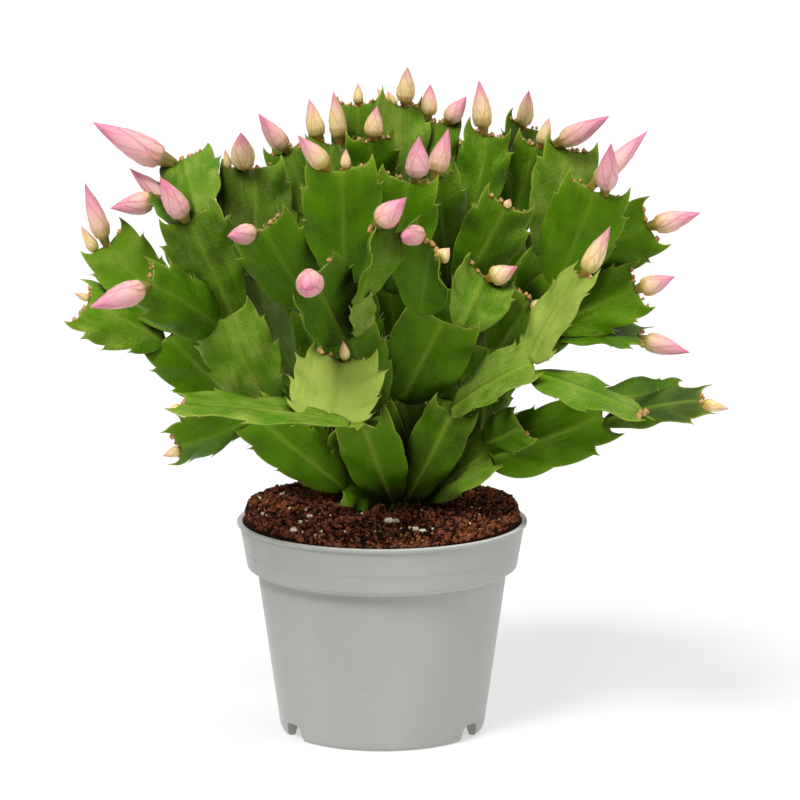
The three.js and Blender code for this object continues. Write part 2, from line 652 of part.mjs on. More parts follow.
function potSolid() {
  const profile = [
    [0, 0],
    [CHANNEL_INNER, 0],
    [CHANNEL_INNER + CHANNEL_SLOPE, CHANNEL_LIFT],
    [CHANNEL_OUTER, CHANNEL_LIFT],
    [CHANNEL_OUTER + CHANNEL_SLOPE, 0],
    [FOOT_RADIUS - FOOT_ROUND, 0],
    [FOOT_RADIUS, FOOT_ROUND],
    [BODY_TOP_RADIUS, BODY_TOP],
    [COLLAR_FOOT_RADIUS, COLLAR_FOOT],
    [COLLAR_TOP_RADIUS, POT_HEIGHT - LIP_HEIGHT],
    [LIP_RADIUS, POT_HEIGHT - LIP_HEIGHT],
    [LIP_RADIUS, POT_HEIGHT],
    [COLLAR_TOP_RADIUS - WALL, POT_HEIGHT],
    [COLLAR_FOOT_RADIUS - WALL, COLLAR_FOOT + CORNER_LIFT],
    [BODY_TOP_RADIUS - WALL, BODY_TOP + CORNER_LIFT],
    [FOOT_RADIUS - WALL, CHANNEL_LIFT + FLOOR],
    [CHANNEL_INNER, CHANNEL_LIFT + FLOOR],
    [CHANNEL_INNER - CHANNEL_SLOPE, FLOOR],
    [0, FLOOR],
  ].map(([radius, height]) => new THREE.Vector2(radius, height));
  const geometry = new THREE.LatheGeometry(profile, POT_SIDES);
  geometry.rotateX(Math.PI / 2);
  let solid = toSolid(geometry);
  for (const angle of NOTCH_ANGLES) {
    const half = NOTCH_WIDTH / 2;
    const notch = new THREE.CylinderGeometry(half - NOTCH_TAPER, half, NOTCH_HEIGHT, NOTCH_SIDES);
    notch.rotateY(Math.PI / 4);
    notch.rotateX(Math.PI / 2);
    notch.translate(FOOT_RADIUS, 0, NOTCH_HEIGHT / 2 - CUT_CLEAR);
    notch.rotateZ(THREE.MathUtils.degToRad(angle));
    solid = solid.subtract(toSolid(notch));
  }
  for (let i = 0; i < DRAIN_COUNT; i += 1) {
    const drain = new THREE.CylinderGeometry(DRAIN_RADIUS, DRAIN_RADIUS, DRAIN_CUT, DRAIN_SIDES);
    drain.rotateX(Math.PI / 2);
    drain.translate(DRAIN_RING, 0, CHANNEL_LIFT + FLOOR / 2);
    drain.rotateZ((i / DRAIN_COUNT) * 2 * Math.PI);
    solid = solid.subtract(toSolid(drain));
  }
  return solid;
}

function soilLump(x, y) {
  const fine = Math.sin(x * FINE_WAVES[0] + FINE_WAVE_START) * Math.cos(y * FINE_WAVES[1]);
  const wide = Math.sin(x * WIDE_WAVES[0] - y * WIDE_WAVES[1]);
  return (fine + wide) * SOIL_LUMP / 2;
}

function soilSolid() {
  const inset = WALL + SOIL_GAP;
  const floor = CHANNEL_LIFT + FLOOR + SOIL_GAP;
  const profile = [
    [0, floor],
    [FOOT_RADIUS - inset, floor],
    [BODY_TOP_RADIUS - inset, BODY_TOP + CORNER_LIFT + SOIL_GAP],
    [COLLAR_FOOT_RADIUS - inset, COLLAR_FOOT + CORNER_LIFT + SOIL_GAP],
    ...SOIL_RINGS.map((radius) => [radius, SOIL_LEVEL]),
  ].map(([radius, height]) => new THREE.Vector2(radius, height));
  const geometry = new THREE.LatheGeometry(profile, POT_SIDES);
  geometry.rotateX(Math.PI / 2);
  const positions = geometry.attributes.position;
  for (let i = 0; i < positions.count; i += 1) {
    if (positions.getZ(i) < SOIL_EDGE_LEVEL) continue;
    const x = positions.getX(i);
    const y = positions.getY(i);
    positions.setZ(i, soilHeight(x, y) + soilLump(x, y));
  }
  let solid = toSolid(geometry);
  for (const { neck: [x, y] } of Object.values(STEMS)) {
    const hole = new THREE.CylinderGeometry(HOLE_RADIUS, HOLE_RADIUS, 2 * HOLE_DEPTH, HOLE_SIDES);
    hole.rotateX(Math.PI / 2);
    hole.translate(x, y, soilHeight(x, y));
    solid = solid.subtract(toSolid(hole));
  }
  return solid;
}

function namedMesh(name, solid, look) {
  const mesh = new THREE.Mesh(toGeometry(solid), new THREE.MeshStandardMaterial(look));
  mesh.name = name;
  return mesh;
}

const plant = new THREE.Group();
plant.add(namedMesh('pot', potSolid(), POT_GREY));
plant.add(namedMesh('soil', soilSolid(), SOIL_BROWN));
for (const stem of Object.keys(STEMS)) plant.add(namedMesh(stem, stemSolid(stem), PAD_GREEN));
for (const [name, [padName, sideShare, tx, ty, tz, radius]] of Object.entries(BUDS)) {
  const bud = budSolid(pads[padName], sideShare, new THREE.Vector3(tx, ty, tz), radius);
  plant.add(namedMesh(name, bud, BUD_PINK));
}

export default plant;
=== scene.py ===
# A budded Christmas cactus in its nursery pot: the finer pieces, the finishes, the light and the camera
import math
import random
import bmesh
import bpy
import numpy as np
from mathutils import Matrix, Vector
from mathutils.geometry import delaunay_2d_cdt


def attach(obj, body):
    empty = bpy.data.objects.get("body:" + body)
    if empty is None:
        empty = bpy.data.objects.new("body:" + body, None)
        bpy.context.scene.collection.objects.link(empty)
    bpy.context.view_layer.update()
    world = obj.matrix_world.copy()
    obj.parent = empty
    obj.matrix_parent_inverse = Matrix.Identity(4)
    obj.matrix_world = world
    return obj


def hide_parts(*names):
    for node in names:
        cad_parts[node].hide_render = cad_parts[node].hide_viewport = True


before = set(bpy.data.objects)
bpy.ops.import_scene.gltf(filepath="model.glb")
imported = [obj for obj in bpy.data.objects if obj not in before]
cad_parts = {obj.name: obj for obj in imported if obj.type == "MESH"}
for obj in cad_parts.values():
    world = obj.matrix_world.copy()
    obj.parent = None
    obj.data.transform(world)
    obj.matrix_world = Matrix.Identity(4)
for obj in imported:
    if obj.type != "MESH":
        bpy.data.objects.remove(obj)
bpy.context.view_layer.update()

# Lengths are in millimetres until a piece is made
MM = 0.001

# Camera: where it stands, how far it looks down, and its focal length in pixels of the 800 pixel frame
CAMERA_PLACE = (7.4, -1500, 407)
CAMERA_DOWN = 10.17
FOCAL_PIXELS = 3705
FRAME_PIXELS = 800
SENSOR_WIDTH = 36

# Pot
POT_HEIGHT = 88
LIP_RADIUS = 60
LIP_HEIGHT = 1.2
COLLAR_TOP_RADIUS = 58.8
COLLAR_FOOT_RADIUS = 55.9
COLLAR_HEIGHT = 19
COLLAR_STEP = 1.8
COLLAR_FOOT = POT_HEIGHT - COLLAR_HEIGHT
COLLAR_LINE = 76.2
LINE_RADIUS = 57
BODY_TOP = COLLAR_FOOT - COLLAR_STEP
BODY_TOP_RADIUS = 51.7
FOOT_RADIUS = 42.4
FOOT_ROUND = 2.4
WALL = 1.1
FLOOR = 1.3
CHANNEL_INNER = 22
CHANNEL_OUTER = 38
CHANNEL_LIFT = 4
POT_SECTORS = 192
SHARP_ANGLE = math.radians(50)
CORNER_STEPS = 4
# How far from a rounded corner the flat runs beside it start, as a share of the corner's radius
HOLD = 1.06
NOTCH_ANGLES = (90, 212, 328)
NOTCH_WIDTH = 18
NOTCH_HEIGHT = 6.5
NOTCH_TAPER = 2.5
DRAIN_COUNT = 6
DRAIN_RADIUS = 4
DRAIN_RING = 30
DRAIN_SECTORS = 32

# Soil
SOIL_LEVEL = 96.5
SOIL_CROWN_FALL = 2
SOIL_FRONT_FALL = 6.5
SOIL_FRONT_CURVE = 1.5
SOIL_RADIUS = 57.2
SOIL_EDGE_LEVEL = 88.2
SOIL_EDGE_START = 55
SOIL_CLEARANCE = 0.4
SOIL_SECTORS = 150
SOIL_RINGS = 52
CRUMB_REACH = 56.8
CRUMB_SINK = 0.35
SMALL_CRUMBS = 7000
LARGE_CRUMBS = 1000
RIM_CRUMBS = 1300
FIBRE_COUNT = 230
PERLITE_COUNT = 80
SCATTER_REACH = 54
# The perlite grains that show best: place (x, y) and size
SEEN_PERLITE = [
    (2, -31, 1.4), (5, -31, 1.2), (26, -38, 1), (13, -39, 1.2), (16, -41, 1.1), (-36, -39, 1.2),
    (-35, -37, 0.9), (-30, -24, 1.1), (-33, -30, 0.9), (30, -26, 0.9), (-31, -16, 0.8), (18, -26, 0.7),
]

# Stems and pads
NECK_RADIUS = 2
NECK_DEPTH = 8
NECK_RISE = 4
# How deep a pad's foot sits in the tip that it grows from
SINK = 2.6
# How far a tooth stands out and on from the margin, and how far on the horn at the tip's corner stands
OUTER_TEETH = (2, 2.2, 4)
INNER_TEETH = (0.9, 0.4, 2)
HORN_OUT = 0.9
# The tip between its two corners, as a share of the pad's width, and how far its middle dips
APEX_SHARE = 0.78
APEX_DIP = 0.04
# A pad's bands from foot to tip: how far up each starts and how wide it is, as shares of the whole
PAD_ROWS = ((0, 0.22), (0.28, 0.78), (0.56, 1), (0.82, 0.97), (1, 0.78))
INNER_ROWS = ((0, 0.24), (0.5, 1), (1, 0.78))
BROAD_ROWS = ((0, 0.4), (0.16, 0.92), (0.46, 1), (0.8, 0.88), (1, 0.68))
# Pads up to this width are inner ones, and the broad ones widen close to their foot
INNER_WIDTH = 20
BROAD_PADS = ("P10", "P20", "P23", "P2")
# How likely each band is to end in a tooth, on most pads and on the first pad of a stem
TOOTH_CHANCE = (0, 0.4, 0.85, 1)
PLAIN_CHANCE = (0, 0, 0, 1)
# Pads with a tooth on every band
SAW_PADS = ("P21", "P7", "P9", "P4", "P10", "P8", "P3", "P20", "P1", "T8", "P22", "P5", "P6")
# The pads' faces look to the front and a little up
FACE_TILT = math.radians(10)
FACING = np.array((0, -math.cos(FACE_TILT), math.sin(FACE_TILT)))
# Half the thickness of the rim and half the width of the rib
RIM_HALF = 0.2
RIB_HALF = 1.15
# Half the width of the rib's own rows of points, and the step between the points of the blade
RIB_BAND = 2.6
GRID_STEP = 1.9
# Waves of the wings along a pad, and how far they bend it
WAVE_COUNT = 2.3
WAVE_HEIGHT = 1.05

# Buds: how thick they are along their length, and where each petal ends and half its width as an angle
BUD_FOOT = 0.165
BUD_KNOTS = (0, 0.06, BUD_FOOT - 0.02, BUD_FOOT + 0.04, 0.33, 0.48, 0.64, 0.8, 0.93, 1)
BUD_SIZES = (0.36, 0.46, 0.58, 0.8, 0.97, 0.93, 0.74, 0.43, 0.16, 0)
PETALS = ((0.4, 0.75), (0.46, 0.8), (0.55, 0.9), (0.74, 1.25),
          (0.82, 1.3), (0.88, 1.35), (0.97, 1.5), (1, 1.5))
PETAL_RELIEF = 0.09
BUD_SINK = 0.6
SMALL_BUD_SINK = 2.2
# Small buds of a larger radius than this have turned pink
PINK_SMALL_BUD = 3.1

# Each stem has the place of its neck in the soil, then its pads: name, what it grows from, the side of
# that tip (-1 left to 1 right), its own tip (x, y, z), width, turn of its face (degrees), how far its back
# arches, how far its edges curl to the face, and its twist (degrees). A row leaves out zeros at its end.
STEMS = {
    "stem_low_left": ((-4, -9), [
        ("O1", "soil", 0, -17, -23, 106, 18, 32, 1),
        ("P9", "O1", 0, -52, -44, 140.5, 21, 0, 2),
        ("P8", "P9", 0, -82, -52, 128, 21, -40, 1, -2),
    ]),
    "stem_front": ((4, -15), [
        ("B1", "soil", 0, -8, -42, 138, 24, -8, 2),
        ("B2", "B1", 0, -19, -82, 143, 26, 85, 1),
        ("P10", "B2", 0.3, -15, -54, 165, 34, -5, -2, 4),
        ("P7", "B2", -0.6, -79, -70, 149, 23, 66, 1),
    ]),
    "stem_front_high": ((6, -8), [
        ("A1", "soil", 0, -4, -30, 139, 20, 15, 1),
        ("A2", "A1", 0, -13, -48, 174, 24, 0, 2),
        ("P11", "A2", -0.3, -27, -78, 201, 28, 25, 0, 4),
        ("P12", "A2", 0.4, -10, -60, 189, 12, 40, 1, 2),
        ("P13", "P12", 0, -3, -70, 220, 24, 60, 2, 5, 25),
    ]),
    "stem_left": ((-9, -3), [
        ("D1", "soil", 0, -24, -12, 124, 22, 20, 1),
        ("D2", "D1", 0, -48, -18, 137, 20, 20, 1),
        ("P5", "D2", 0, -64, -22, 177, 28, 0, 2, -1),
        ("P2", "P5", -0.4, -93, -48, 194, 23, 12, 3, -4),
        ("Q1", "P5", 0.3, -78, -14, 216, 28, -5, 2, -2),
        ("Q2", "Q1", 0.3, -81, 12, 237, 25, -12, 1, -2),
        ("Q9", "Q1", -0.6, -89, 10, 219, 18, 60),
    ]),
    "stem_far_left": ((-12, 10), [
        ("E1", "soil", 0, -32, 14, 120, 18, 20, 1),
        ("E2", "E1", 0, -60, 6, 136, 18, 45, 1),
        ("P4", "E2", 0, -88, -6, 167, 28, -10, 2),
        ("P3", "P4", -0.4, -121, -10, 180, 24, 25, 2, -4),
        ("P1", "P4", 0.4, -113, 4, 203, 25, 8, 2),
    ]),
    "stem_left_high": ((-9, 7), [
        ("F1", "soil", 0, -17, 9, 125, 18, 50, 1),
        ("F2", "F1", 0, -34, 0, 148, 18, 10, 1),
        ("P6", "F2", 0, -51, -6, 192, 22, -42, 2, 2),
        ("Q3", "P6", 0, -53, 8, 234, 29, 5, 2, -2),
    ]),
    "stem_crown_left": ((4, 11), [
        ("G1", "soil", 0, -6, -6, 148, 18, 0, 1),
        ("G2", "G1", -0.5, -24, -9, 180, 19, 0, 1),
        ("Q4", "G2", -0.4, -48, -34, 215, 28, -12, 3, -1),
        ("G3", "G1", 0.2, -15, -26, 191, 21, 0, 1),
        ("Q5", "G3", 0, -16, -38, 239, 30, 4, 3, -2),
        ("G5", "G2", 0.4, -26, 12, 216, 18, 0),
        ("T4", "G5", 0.5, -21, 22, 242, 21, 10, 1),
        ("T14", "G5", -0.5, -39, 27, 238, 21, 0, 1),
    ]),
    "stem_centre": ((12, -1), [
        ("H1", "soil", 0, 8, -18, 143, 18, 20, 1),
        ("P14", "H1", 0, 25, -36, 178, 33, 5, 2, 1),
        ("P15", "P14", -0.7, 20, -56, 211, 26, -28, 0, 4, -60),
        ("P16", "P14", 0.6, 42, -16, 192, 26, 18, 0, 4),
    ]),
    "stem_crown": ((11, 14), [
        ("J1", "soil", 0, 6, 12, 138, 15, 0, 1),
        ("J2", "J1", 0.2, 3, -4, 186, 21, -10, 1),
        ("Q6", "J2", 0.1, 11, -16, 232, 27, -8, 2),
        ("J3", "J2", -0.4, 6, 12, 220, 13, -25, 1),
        ("T1", "J3", 0, 7, 27, 258, 25, 30, 1, 2, 15),
        ("J4", "J2", 0.6, 16, 22, 218, 13, 30, 1),
        ("T5", "J4", 0, 23, 34, 250, 21, -5, 1),
        ("J5", "J1", -0.5, -4, 20, 182, 15, 60, 1),
        ("J6", "J5", 0, -7, 14, 214, 15, 0),
        ("T3", "J6", 0.4, -5, 3, 246, 22, 8, 1),
        ("T2", "J6", -0.4, -10, 36, 257, 21, -12, 1),
    ]),
    "stem_crown_right": ((22, 13), [
        ("K1", "soil", 0, 27, 15, 138, 16, 0, 1),
        ("K2", "K1", -0.3, 27, 6, 186, 18, 0, 1),
        ("Q7", "K2", 0, 21, 0, 231, 22, 12, 1),
        ("K3", "K2", 0.5, 37, 22, 211, 16, -25, 1),
        ("T6", "K3", 0, 44, 30, 245, 21, 18, 1),
        ("K4", "K1", 0.5, 32, -6, 186, 20, 5, 1),
        ("Q8", "K4", 0, 51, -12, 221, 24, 8, 2),
    ]),
    "stem_front_right": ((10, -14), [
        ("B3", "soil", 0, 29, -31, 140, 21, 5, 2),
        ("P21", "B3", 0, 62, -44, 161, 24, -50, 2, 3),
        ("P20", "P21", -0.2, 80.5, -34, 195, 24, -55, 2),
        ("P22", "P21", 0.6, 103, -62, 143, 24, -58, 1, 0, -40),
    ]),
    "stem_low_right": ((20, -3), [
        ("B4", "soil", 0, 41, -5, 122, 22, -25, 2),
        ("L1", "B4", 0, 44, -12, 163, 20, 0, 1),
        ("P30", "L1", 0.3, 61, -6, 181, 24, 0, 1, -3),
    ]),
    "stem_right_long": ((18, -10), [
        ("B5", "soil", 0, 45, -25, 121, 21, -35, 2),
        ("P23", "B5", 0.2, 91, -28, 137, 25, -4, 1),
        ("P24", "B5", -0.7, 56.5, -38, 134.5, 18, 5, 1, -2),
        ("P25", "P23", 0.3, 130, -32, 143, 21, -52, 2),
        ("P26", "P23", -0.6, 124, -6, 140, 21, -48, 1),
    ]),
    "stem_right": ((29, 5), [
        ("M1", "soil", 0, 38, 9, 126, 18, 50, 1),
        ("M2", "M1", 0, 52, 18, 157, 20, 0, 1),
        ("M3", "M2", 0.8, 73, 6, 166, 14, 0),
        ("T12", "M3", -0.6, 105.5, 4, 184, 24, -10, 1),
        ("T13", "M3", 0.6, 107, 6, 163, 22, -62, 2),
        ("M4", "M2", 0.1, 72, -2, 186, 18, 0, 1),
        ("T10", "M4", 0, 87, -10, 227, 30, 4, 2),
        ("M6", "M2", -0.7, 70, 16, 196, 18, 0, 1),
        ("T11", "M6", 0.6, 111, 16, 208.5, 26, 8, 2),
        ("T9", "M6", -0.4, 78, 22, 240, 25, 15, 2),
    ]),
    "stem_right_high": ((30, 18), [
        ("N1", "soil", 0, 37, 28, 126, 18, 60, 1),
        ("N2", "N1", 0, 46, 36, 164, 19, 30, 1),
        ("N3", "N2", 0.5, 52, 37, 201, 16, 0, 1),
        ("T8", "N3", 0, 65, 39, 240, 21, 8, 1),
        ("N4", "N2", -0.5, 46, 44, 211, 16, 0, 1),
        ("T7", "N4", 0, 59.5, 50, 246.5, 22, 38, 1),
    ]),
    "stem_back_left_low": ((-12, 20), [
        ("R1", "soil", 0, -32, 42, 119, 22, -30, 1),
        ("R2", "R1", 0, -57, 62, 140, 24, -25, 2),
        ("R3", "R2", -0.5, -82, 66, 166, 26, -20, 2),
        ("R4", "R2", 0.5, -56, 86, 176, 27, -10, 2),
    ]),
    "stem_back_left": ((-2, 22), [
        ("S1", "soil", 0, -18, 42, 132, 22, -15, 1),
        ("S2", "S1", 0, -36, 54, 170, 24, -10, 2),
        ("S3", "S2", -0.5, -66, 46, 203, 26, -20, 2),
        ("S4", "S2", 0.5, -30, 70, 210, 27, 0, 2),
        ("S5", "S4", 0, -36, 56, 238, 24, 10, 1),
    ]),
    "stem_back": ((8, 25), [
        ("U1", "soil", 0, 6, 48, 130, 22, 0, 1),
        ("U2", "U1", -0.3, 6, 76, 164, 24, 0, 2),
        ("U3", "U2", -0.5, -9, 92, 200, 26, -10, 2),
        ("U4", "U2", 0.5, 27, 88, 200, 26, 15, 2),
        ("U5", "U1", 0.4, 6, 52, 178, 22, 55, 1),
        ("U6", "U5", 0, 0, 56, 220, 24, 0, 1),
    ]),
    "stem_back_right": ((18, 24), [
        ("V1", "soil", 0, 30, 46, 128, 22, 20, 1),
        ("V2", "V1", 0, 48, 60, 166, 24, 15, 2),
        ("V3", "V2", 0.5, 72, 54, 196, 25, 25, 2),
        ("V4", "V2", -0.5, 40, 76, 206, 27, 10, 2),
        ("V5", "V4", 0, 42, 62, 236, 24, 0, 1),
    ]),
    "stem_back_low": ((22, 33), [
        ("W1", "soil", 0, 32, 62, 114, 22, 10, 1),
        ("W2", "W1", 0, 36, 90, 134, 24, 5, 2),
        ("W3", "W2", 0.5, 55, 98, 162, 25, 10, 2),
        ("W4", "W2", -0.5, 14, 106, 152, 26, -15, 2),
    ]),
}

# Large buds: pad, side of its tip, the bud's point (x, y, z), belly radius, and how pink it has turned
BUDS = [
    ("Q2", -0.5, -118, 6, 252, 5.9, 1),
    ("Q9", -0.5, -111, 2, 217, 4.6, 0.8),
    ("Q9", 0.8, -104, 16, 232, 3.8, 0.8),
    ("Q1", -0.15, -89, -22, 233, 4.7, 0.95),
    ("P1", -0.1, -121, 0, 228, 3.8, 0.7),
    ("Q4", -0.3, -61, -46, 212, 4.1, 0.75),
    ("Q3", -0.3, -57, -6, 249, 4.9, 0.3),
    ("T14", 0, -51, 22, 254, 4, 0.75),
    ("P2", -0.05, -114, -68, 187, 5, 0.95),
    ("T4", -0.6, -30, 22, 260, 3.7, 0.25),
    ("T4", 0.5, -20, 22, 263, 3.6, 0.25),
    ("Q5", -0.4, -33, -44, 252, 4, 0.45),
    ("T1", 0.3, 10.5, 24, 273, 3.8, 0.15),
    ("T3", 0.1, -2, 2, 259, 3.8, 0.3),
    ("T5", -0.5, 20, 34, 265, 3.6, 0.45),
    ("T5", 0.4, 35, 31, 260, 3.8, 0.75),
    ("T6", -0.2, 40, 30, 267, 4, 0.35),
    ("Q6", 0.3, 15, -20, 249, 4.8, 1),
    ("Q7", 0, 27, 0, 250, 4.2, 0.7),
    ("P13", 0.2, 10, -74, 231, 4.8, 0.85),
    ("P15", -0.75, 8, -80, 216, 4, 0.95),
    ("P11", 0, -29, -106, 200, 5.2, 1),
    ("P16", 0.1, 55, -18, 196, 4, 0.35),
    ("T7", 0, 61, 38, 262, 3.5, 0.25),
    ("T9", -0.75, 93, 10, 254, 4.3, 0.8),
    ("T10", -0.25, 109, 12, 248, 4, 0.8),
    ("T10", 0.35, 92, -22, 246.5, 4.3, 1),
    ("T11", 0, 131, 12, 214, 4.3, 0.7),
    ("P20", 0.1, 91, -38, 215, 4, 0.3),
    ("T12", 0, 120, 2, 189, 4.1, 0.6),
    ("T13", 0, 127, 4, 157, 4, 0.8),
]

# Small buds: pad, side of its tip, the bud's point (x, y, z) and radius
SMALL_BUDS = [
    ("P1", -0.6, -123, 2, 210, 2.4),
    ("Q3", -0.85, -64, 6, 241, 1.6),
    ("Q5", 0.15, -14, -38, 246, 2),
    ("T2", 0, -10, 37, 265, 2.1),
    ("T1", -0.6, -2, 24, 264, 1.8),
    ("T1", -0.1, 2, 24, 263, 1.5),
    ("P15", 0.8, 27, -58, 209, 3),
    ("T8", 0.2, 69.5, 39, 250.5, 2.9),
    ("P26", 0, 131, -6, 142, 2.6),
    ("P25", 0, 140, -32, 140, 2.5),
    ("P7", -0.4, -84, -72, 147, 2),
    ("P8", -0.2, -87, -54, 125, 2.1),
    ("P10", 0.1, -15, -58, 172, 2),
    ("P30", 0.3, 65, -18, 181, 2.6),
    ("Q8", 0, 52, -14, 223, 1.7),
    ("P3", 0.3, -125, -11, 184, 1.6),
    ("R4", 0.2, -60, 98, 188, 3.2),
    ("S3", 0, -74, 53, 217, 3.2),
    ("U3", -0.2, -14, 104, 212, 3.4),
    ("V3", 0.2, 80, 62, 208, 3.2),
    ("V4", -0.2, 38, 88, 219, 3.4),
]

# How pale each pad's skin is, where it isn't the usual value: partly the pad's own colour and partly painted
# light, with pads that catch the light or show sheen made paler and pads that lie in shade made darker
USUAL_TONE_AND_LIGHT = 0.42
TONES_AND_LIGHT = {
    "P10": 0.98, "B2": 0.66, "P2": 0.34, "P7": 0.66, "P20": 0.9, "P15": 0.4, "P16": 0.62, "P21": 0.74,
    "P22": 0.6, "P25": 0.02, "P26": 0.3, "P24": 0.5, "B3": 0.28, "B4": 0.98, "B5": 0.7, "B1": 0.5,
    "P9": 0.38, "P8": 0.34, "P3": 0.6, "P1": 0.58, "P5": 0.7, "Q3": 0.15, "Q1": 0.22, "Q4": 0.5,
    "P13": 0.66, "P12": 0.76, "T10": 0.4, "T9": 0.7, "Q2": 0.6, "T8": 0.46, "P6": 0.6, "T7": 0.5,
    "T11": 0.4, "T12": 0.36, "T13": 0.5, "Q8": 0.28, "Q7": 0.5, "P14": 0.38, "T1": 0.64,
}


# Materials

class Wire:
    """A number or colour that varies over a surface. Arithmetic on wires adds Math nodes."""

    def __init__(self, finish, socket):
        self.finish = finish
        self.socket = socket

    def maths(self, operation, *numbers):
        return self.finish.node("ShaderNodeMath", {"operation": operation}, dict(enumerate(numbers)))

    def __add__(self, other):
        return self.maths("ADD", self, other)

    def __sub__(self, other):
        return self.maths("SUBTRACT", self, other)

    def __rsub__(self, other):
        return self.maths("SUBTRACT", other, self)

    def __mul__(self, other):
        return self.maths("MULTIPLY", self, other)

    __radd__ = __add__
    __rmul__ = __mul__


class Finish:
    """One material: constant values go on its shader's own sockets, and varying ones are wired to them."""

    def __init__(self, name, **constants):
        self.material = bpy.data.materials.new(name)
        self.material.use_nodes = True
        self.tree = self.material.node_tree
        self.shader = self.tree.nodes["Principled BSDF"]
        for socket, value in constants.items():
            self.shader.inputs[socket.replace("_", " ")].default_value = value

    def node(self, kind, settings=None, inputs=None, output=0):
        made = self.tree.nodes.new(kind)
        for key, value in (settings or {}).items():
            setattr(made, key, value)
        for key, value in (inputs or {}).items():
            if isinstance(value, Wire):
                self.tree.links.new(value.socket, made.inputs[key])
            elif isinstance(value, tuple) and made.inputs[key].type == "RGBA":
                made.inputs[key].default_value = (*value, 1)
            else:
                made.inputs[key].default_value = value
        return Wire(self, made.outputs[output])

    def value(self, name):
        """What a piece's mesh says at each point under that name."""
        return self.node("ShaderNodeAttribute", {"attribute_name": name}, output="Fac")

    def place(self, name):
        return self.node("ShaderNodeAttribute", {"attribute_name": name}, output="Vector")

    def position(self):
        return self.node("ShaderNodeTexCoord", output="Object")

    def grain(self, place, scale, detail=2, roughness=0.5):
        inputs = {"Vector": place, "Scale": scale, "Detail": detail, "Roughness": roughness}
        return self.node("ShaderNodeTexNoise", inputs=inputs)

    def cells(self, place, scale):
        return self.node("ShaderNodeTexVoronoi", inputs={"Vector": place, "Scale": scale}, output="Distance")

    def stretch(self, place, scale):
        settings = {"operation": "MULTIPLY"}
        return self.node("ShaderNodeVectorMath", settings, {0: place, 1: scale})

    def ramp(self, amount, low, high, start=0.0, end=1.0):
        settings = {"clamp": True, "interpolation_type": "SMOOTHSTEP"}
        inputs = {"Value": amount, "From Min": low, "From Max": high, "To Min": start, "To Max": end}
        return self.node("ShaderNodeMapRange", settings, inputs)

    def blend(self, share, first, second):
        """The first colour where share is 0, and the second where it is 1."""
        settings = {"data_type": "RGBA", "clamp_factor": True}
        return self.node("ShaderNodeMix", settings, {0: share, 6: first, 7: second}, output=2)

    def wear(self, colour, roughness, relief, strength, depth):
        """Wires the shader up, with fine relief of that strength and depth in metres."""
        inputs = {"Height": relief, "Strength": strength, "Distance": depth}
        bump = self.node("ShaderNodeBump", inputs=inputs, output="Normal")
        for wire, socket in ((colour, "Base Color"), (roughness, "Roughness"), (bump, "Normal")):
            self.tree.links.new(wire.socket, self.shader.inputs[socket])
        return self.material


def tint(red, green, blue):
    """A colour given as it looks on screen, from 0 to 255, as the shader wants it."""
    def level(step):
        share = step / 255
        return share / 12.92 if share <= 0.04045 else ((share + 0.055) / 1.055) ** 2.4
    return (level(red), level(green), level(blue))


def pad_skin():
    """Smooth waxy green skin: yellow-green rims, a paler rib, brown cork at the oldest feet, and painted
    shade where pads crowd each other.
    """
    skin = Finish("pad skin", Specular_IOR_Level=0.4, Specular_Tint=(0.9, 1, 0.2, 1))
    lie = skin.place("lie")
    tone = skin.value("tone")
    rib = skin.value("rib")
    edge = skin.value("edge")
    age = skin.value("age")
    along = skin.value("along")
    cloud = skin.grain(lie, 0.09, detail=3)
    fleck = skin.grain(lie, 1.5, detail=4, roughness=0.7)
    streak = skin.grain(skin.stretch(lie, (0.6, 0.09, 1)), 1, detail=3)
    bright = tone + (cloud - 0.5) * 0.65 + (streak - 0.5) * 0.25 + (fleck - 0.5) * 0.55
    # From dark green to a pale grey-green by each pad's paleness; the grey-green end is partly a painted
    # sheen
    green = skin.blend(skin.ramp(bright, 0, 0.5), tint(28, 57, 0), tint(70, 118, 0))
    green = skin.blend(skin.ramp(bright, 0.5, 1), green, tint(146, 164, 72))
    fresh = skin.ramp(along, 0.8, 1.02) * 0.2
    green = skin.blend(fresh, green, tint(100, 138, 14))
    green = skin.blend(rib * (0.28 + 0.42 * age), green, tint(122, 150, 42))
    cork = skin.ramp(age * (1.12 - along) + (cloud - 0.5) * 0.6, 0.78, 1.12)
    green = skin.blend(cork * 0.75, green, tint(104, 84, 42))
    green = skin.blend(edge * skin.ramp(fleck, 0.3, 0.65, 0.2, 0.8), green, tint(160, 172, 66))
    # Painted shade: an occlusion node darkens the pads' colour towards a near-black green where neighbouring
    # pads crowd them
    crevice_shade = skin.node("ShaderNodeAmbientOcclusion", {"samples": 6}, {"Distance": 0.026}, output="AO")
    colour = skin.blend(skin.ramp(crevice_shade, 0.3, 0.96), tint(12, 26, 0), green)
    roughness = skin.ramp(fleck, 0.3, 0.7, 0.14, 0.28)
    pits = skin.grain(lie, 0.95, detail=5, roughness=0.7)
    relief = pits * 2.2 + cloud * 3.4 + streak * 1.8
    return skin.wear(colour, roughness, relief, strength=0.45, depth=0.0007)


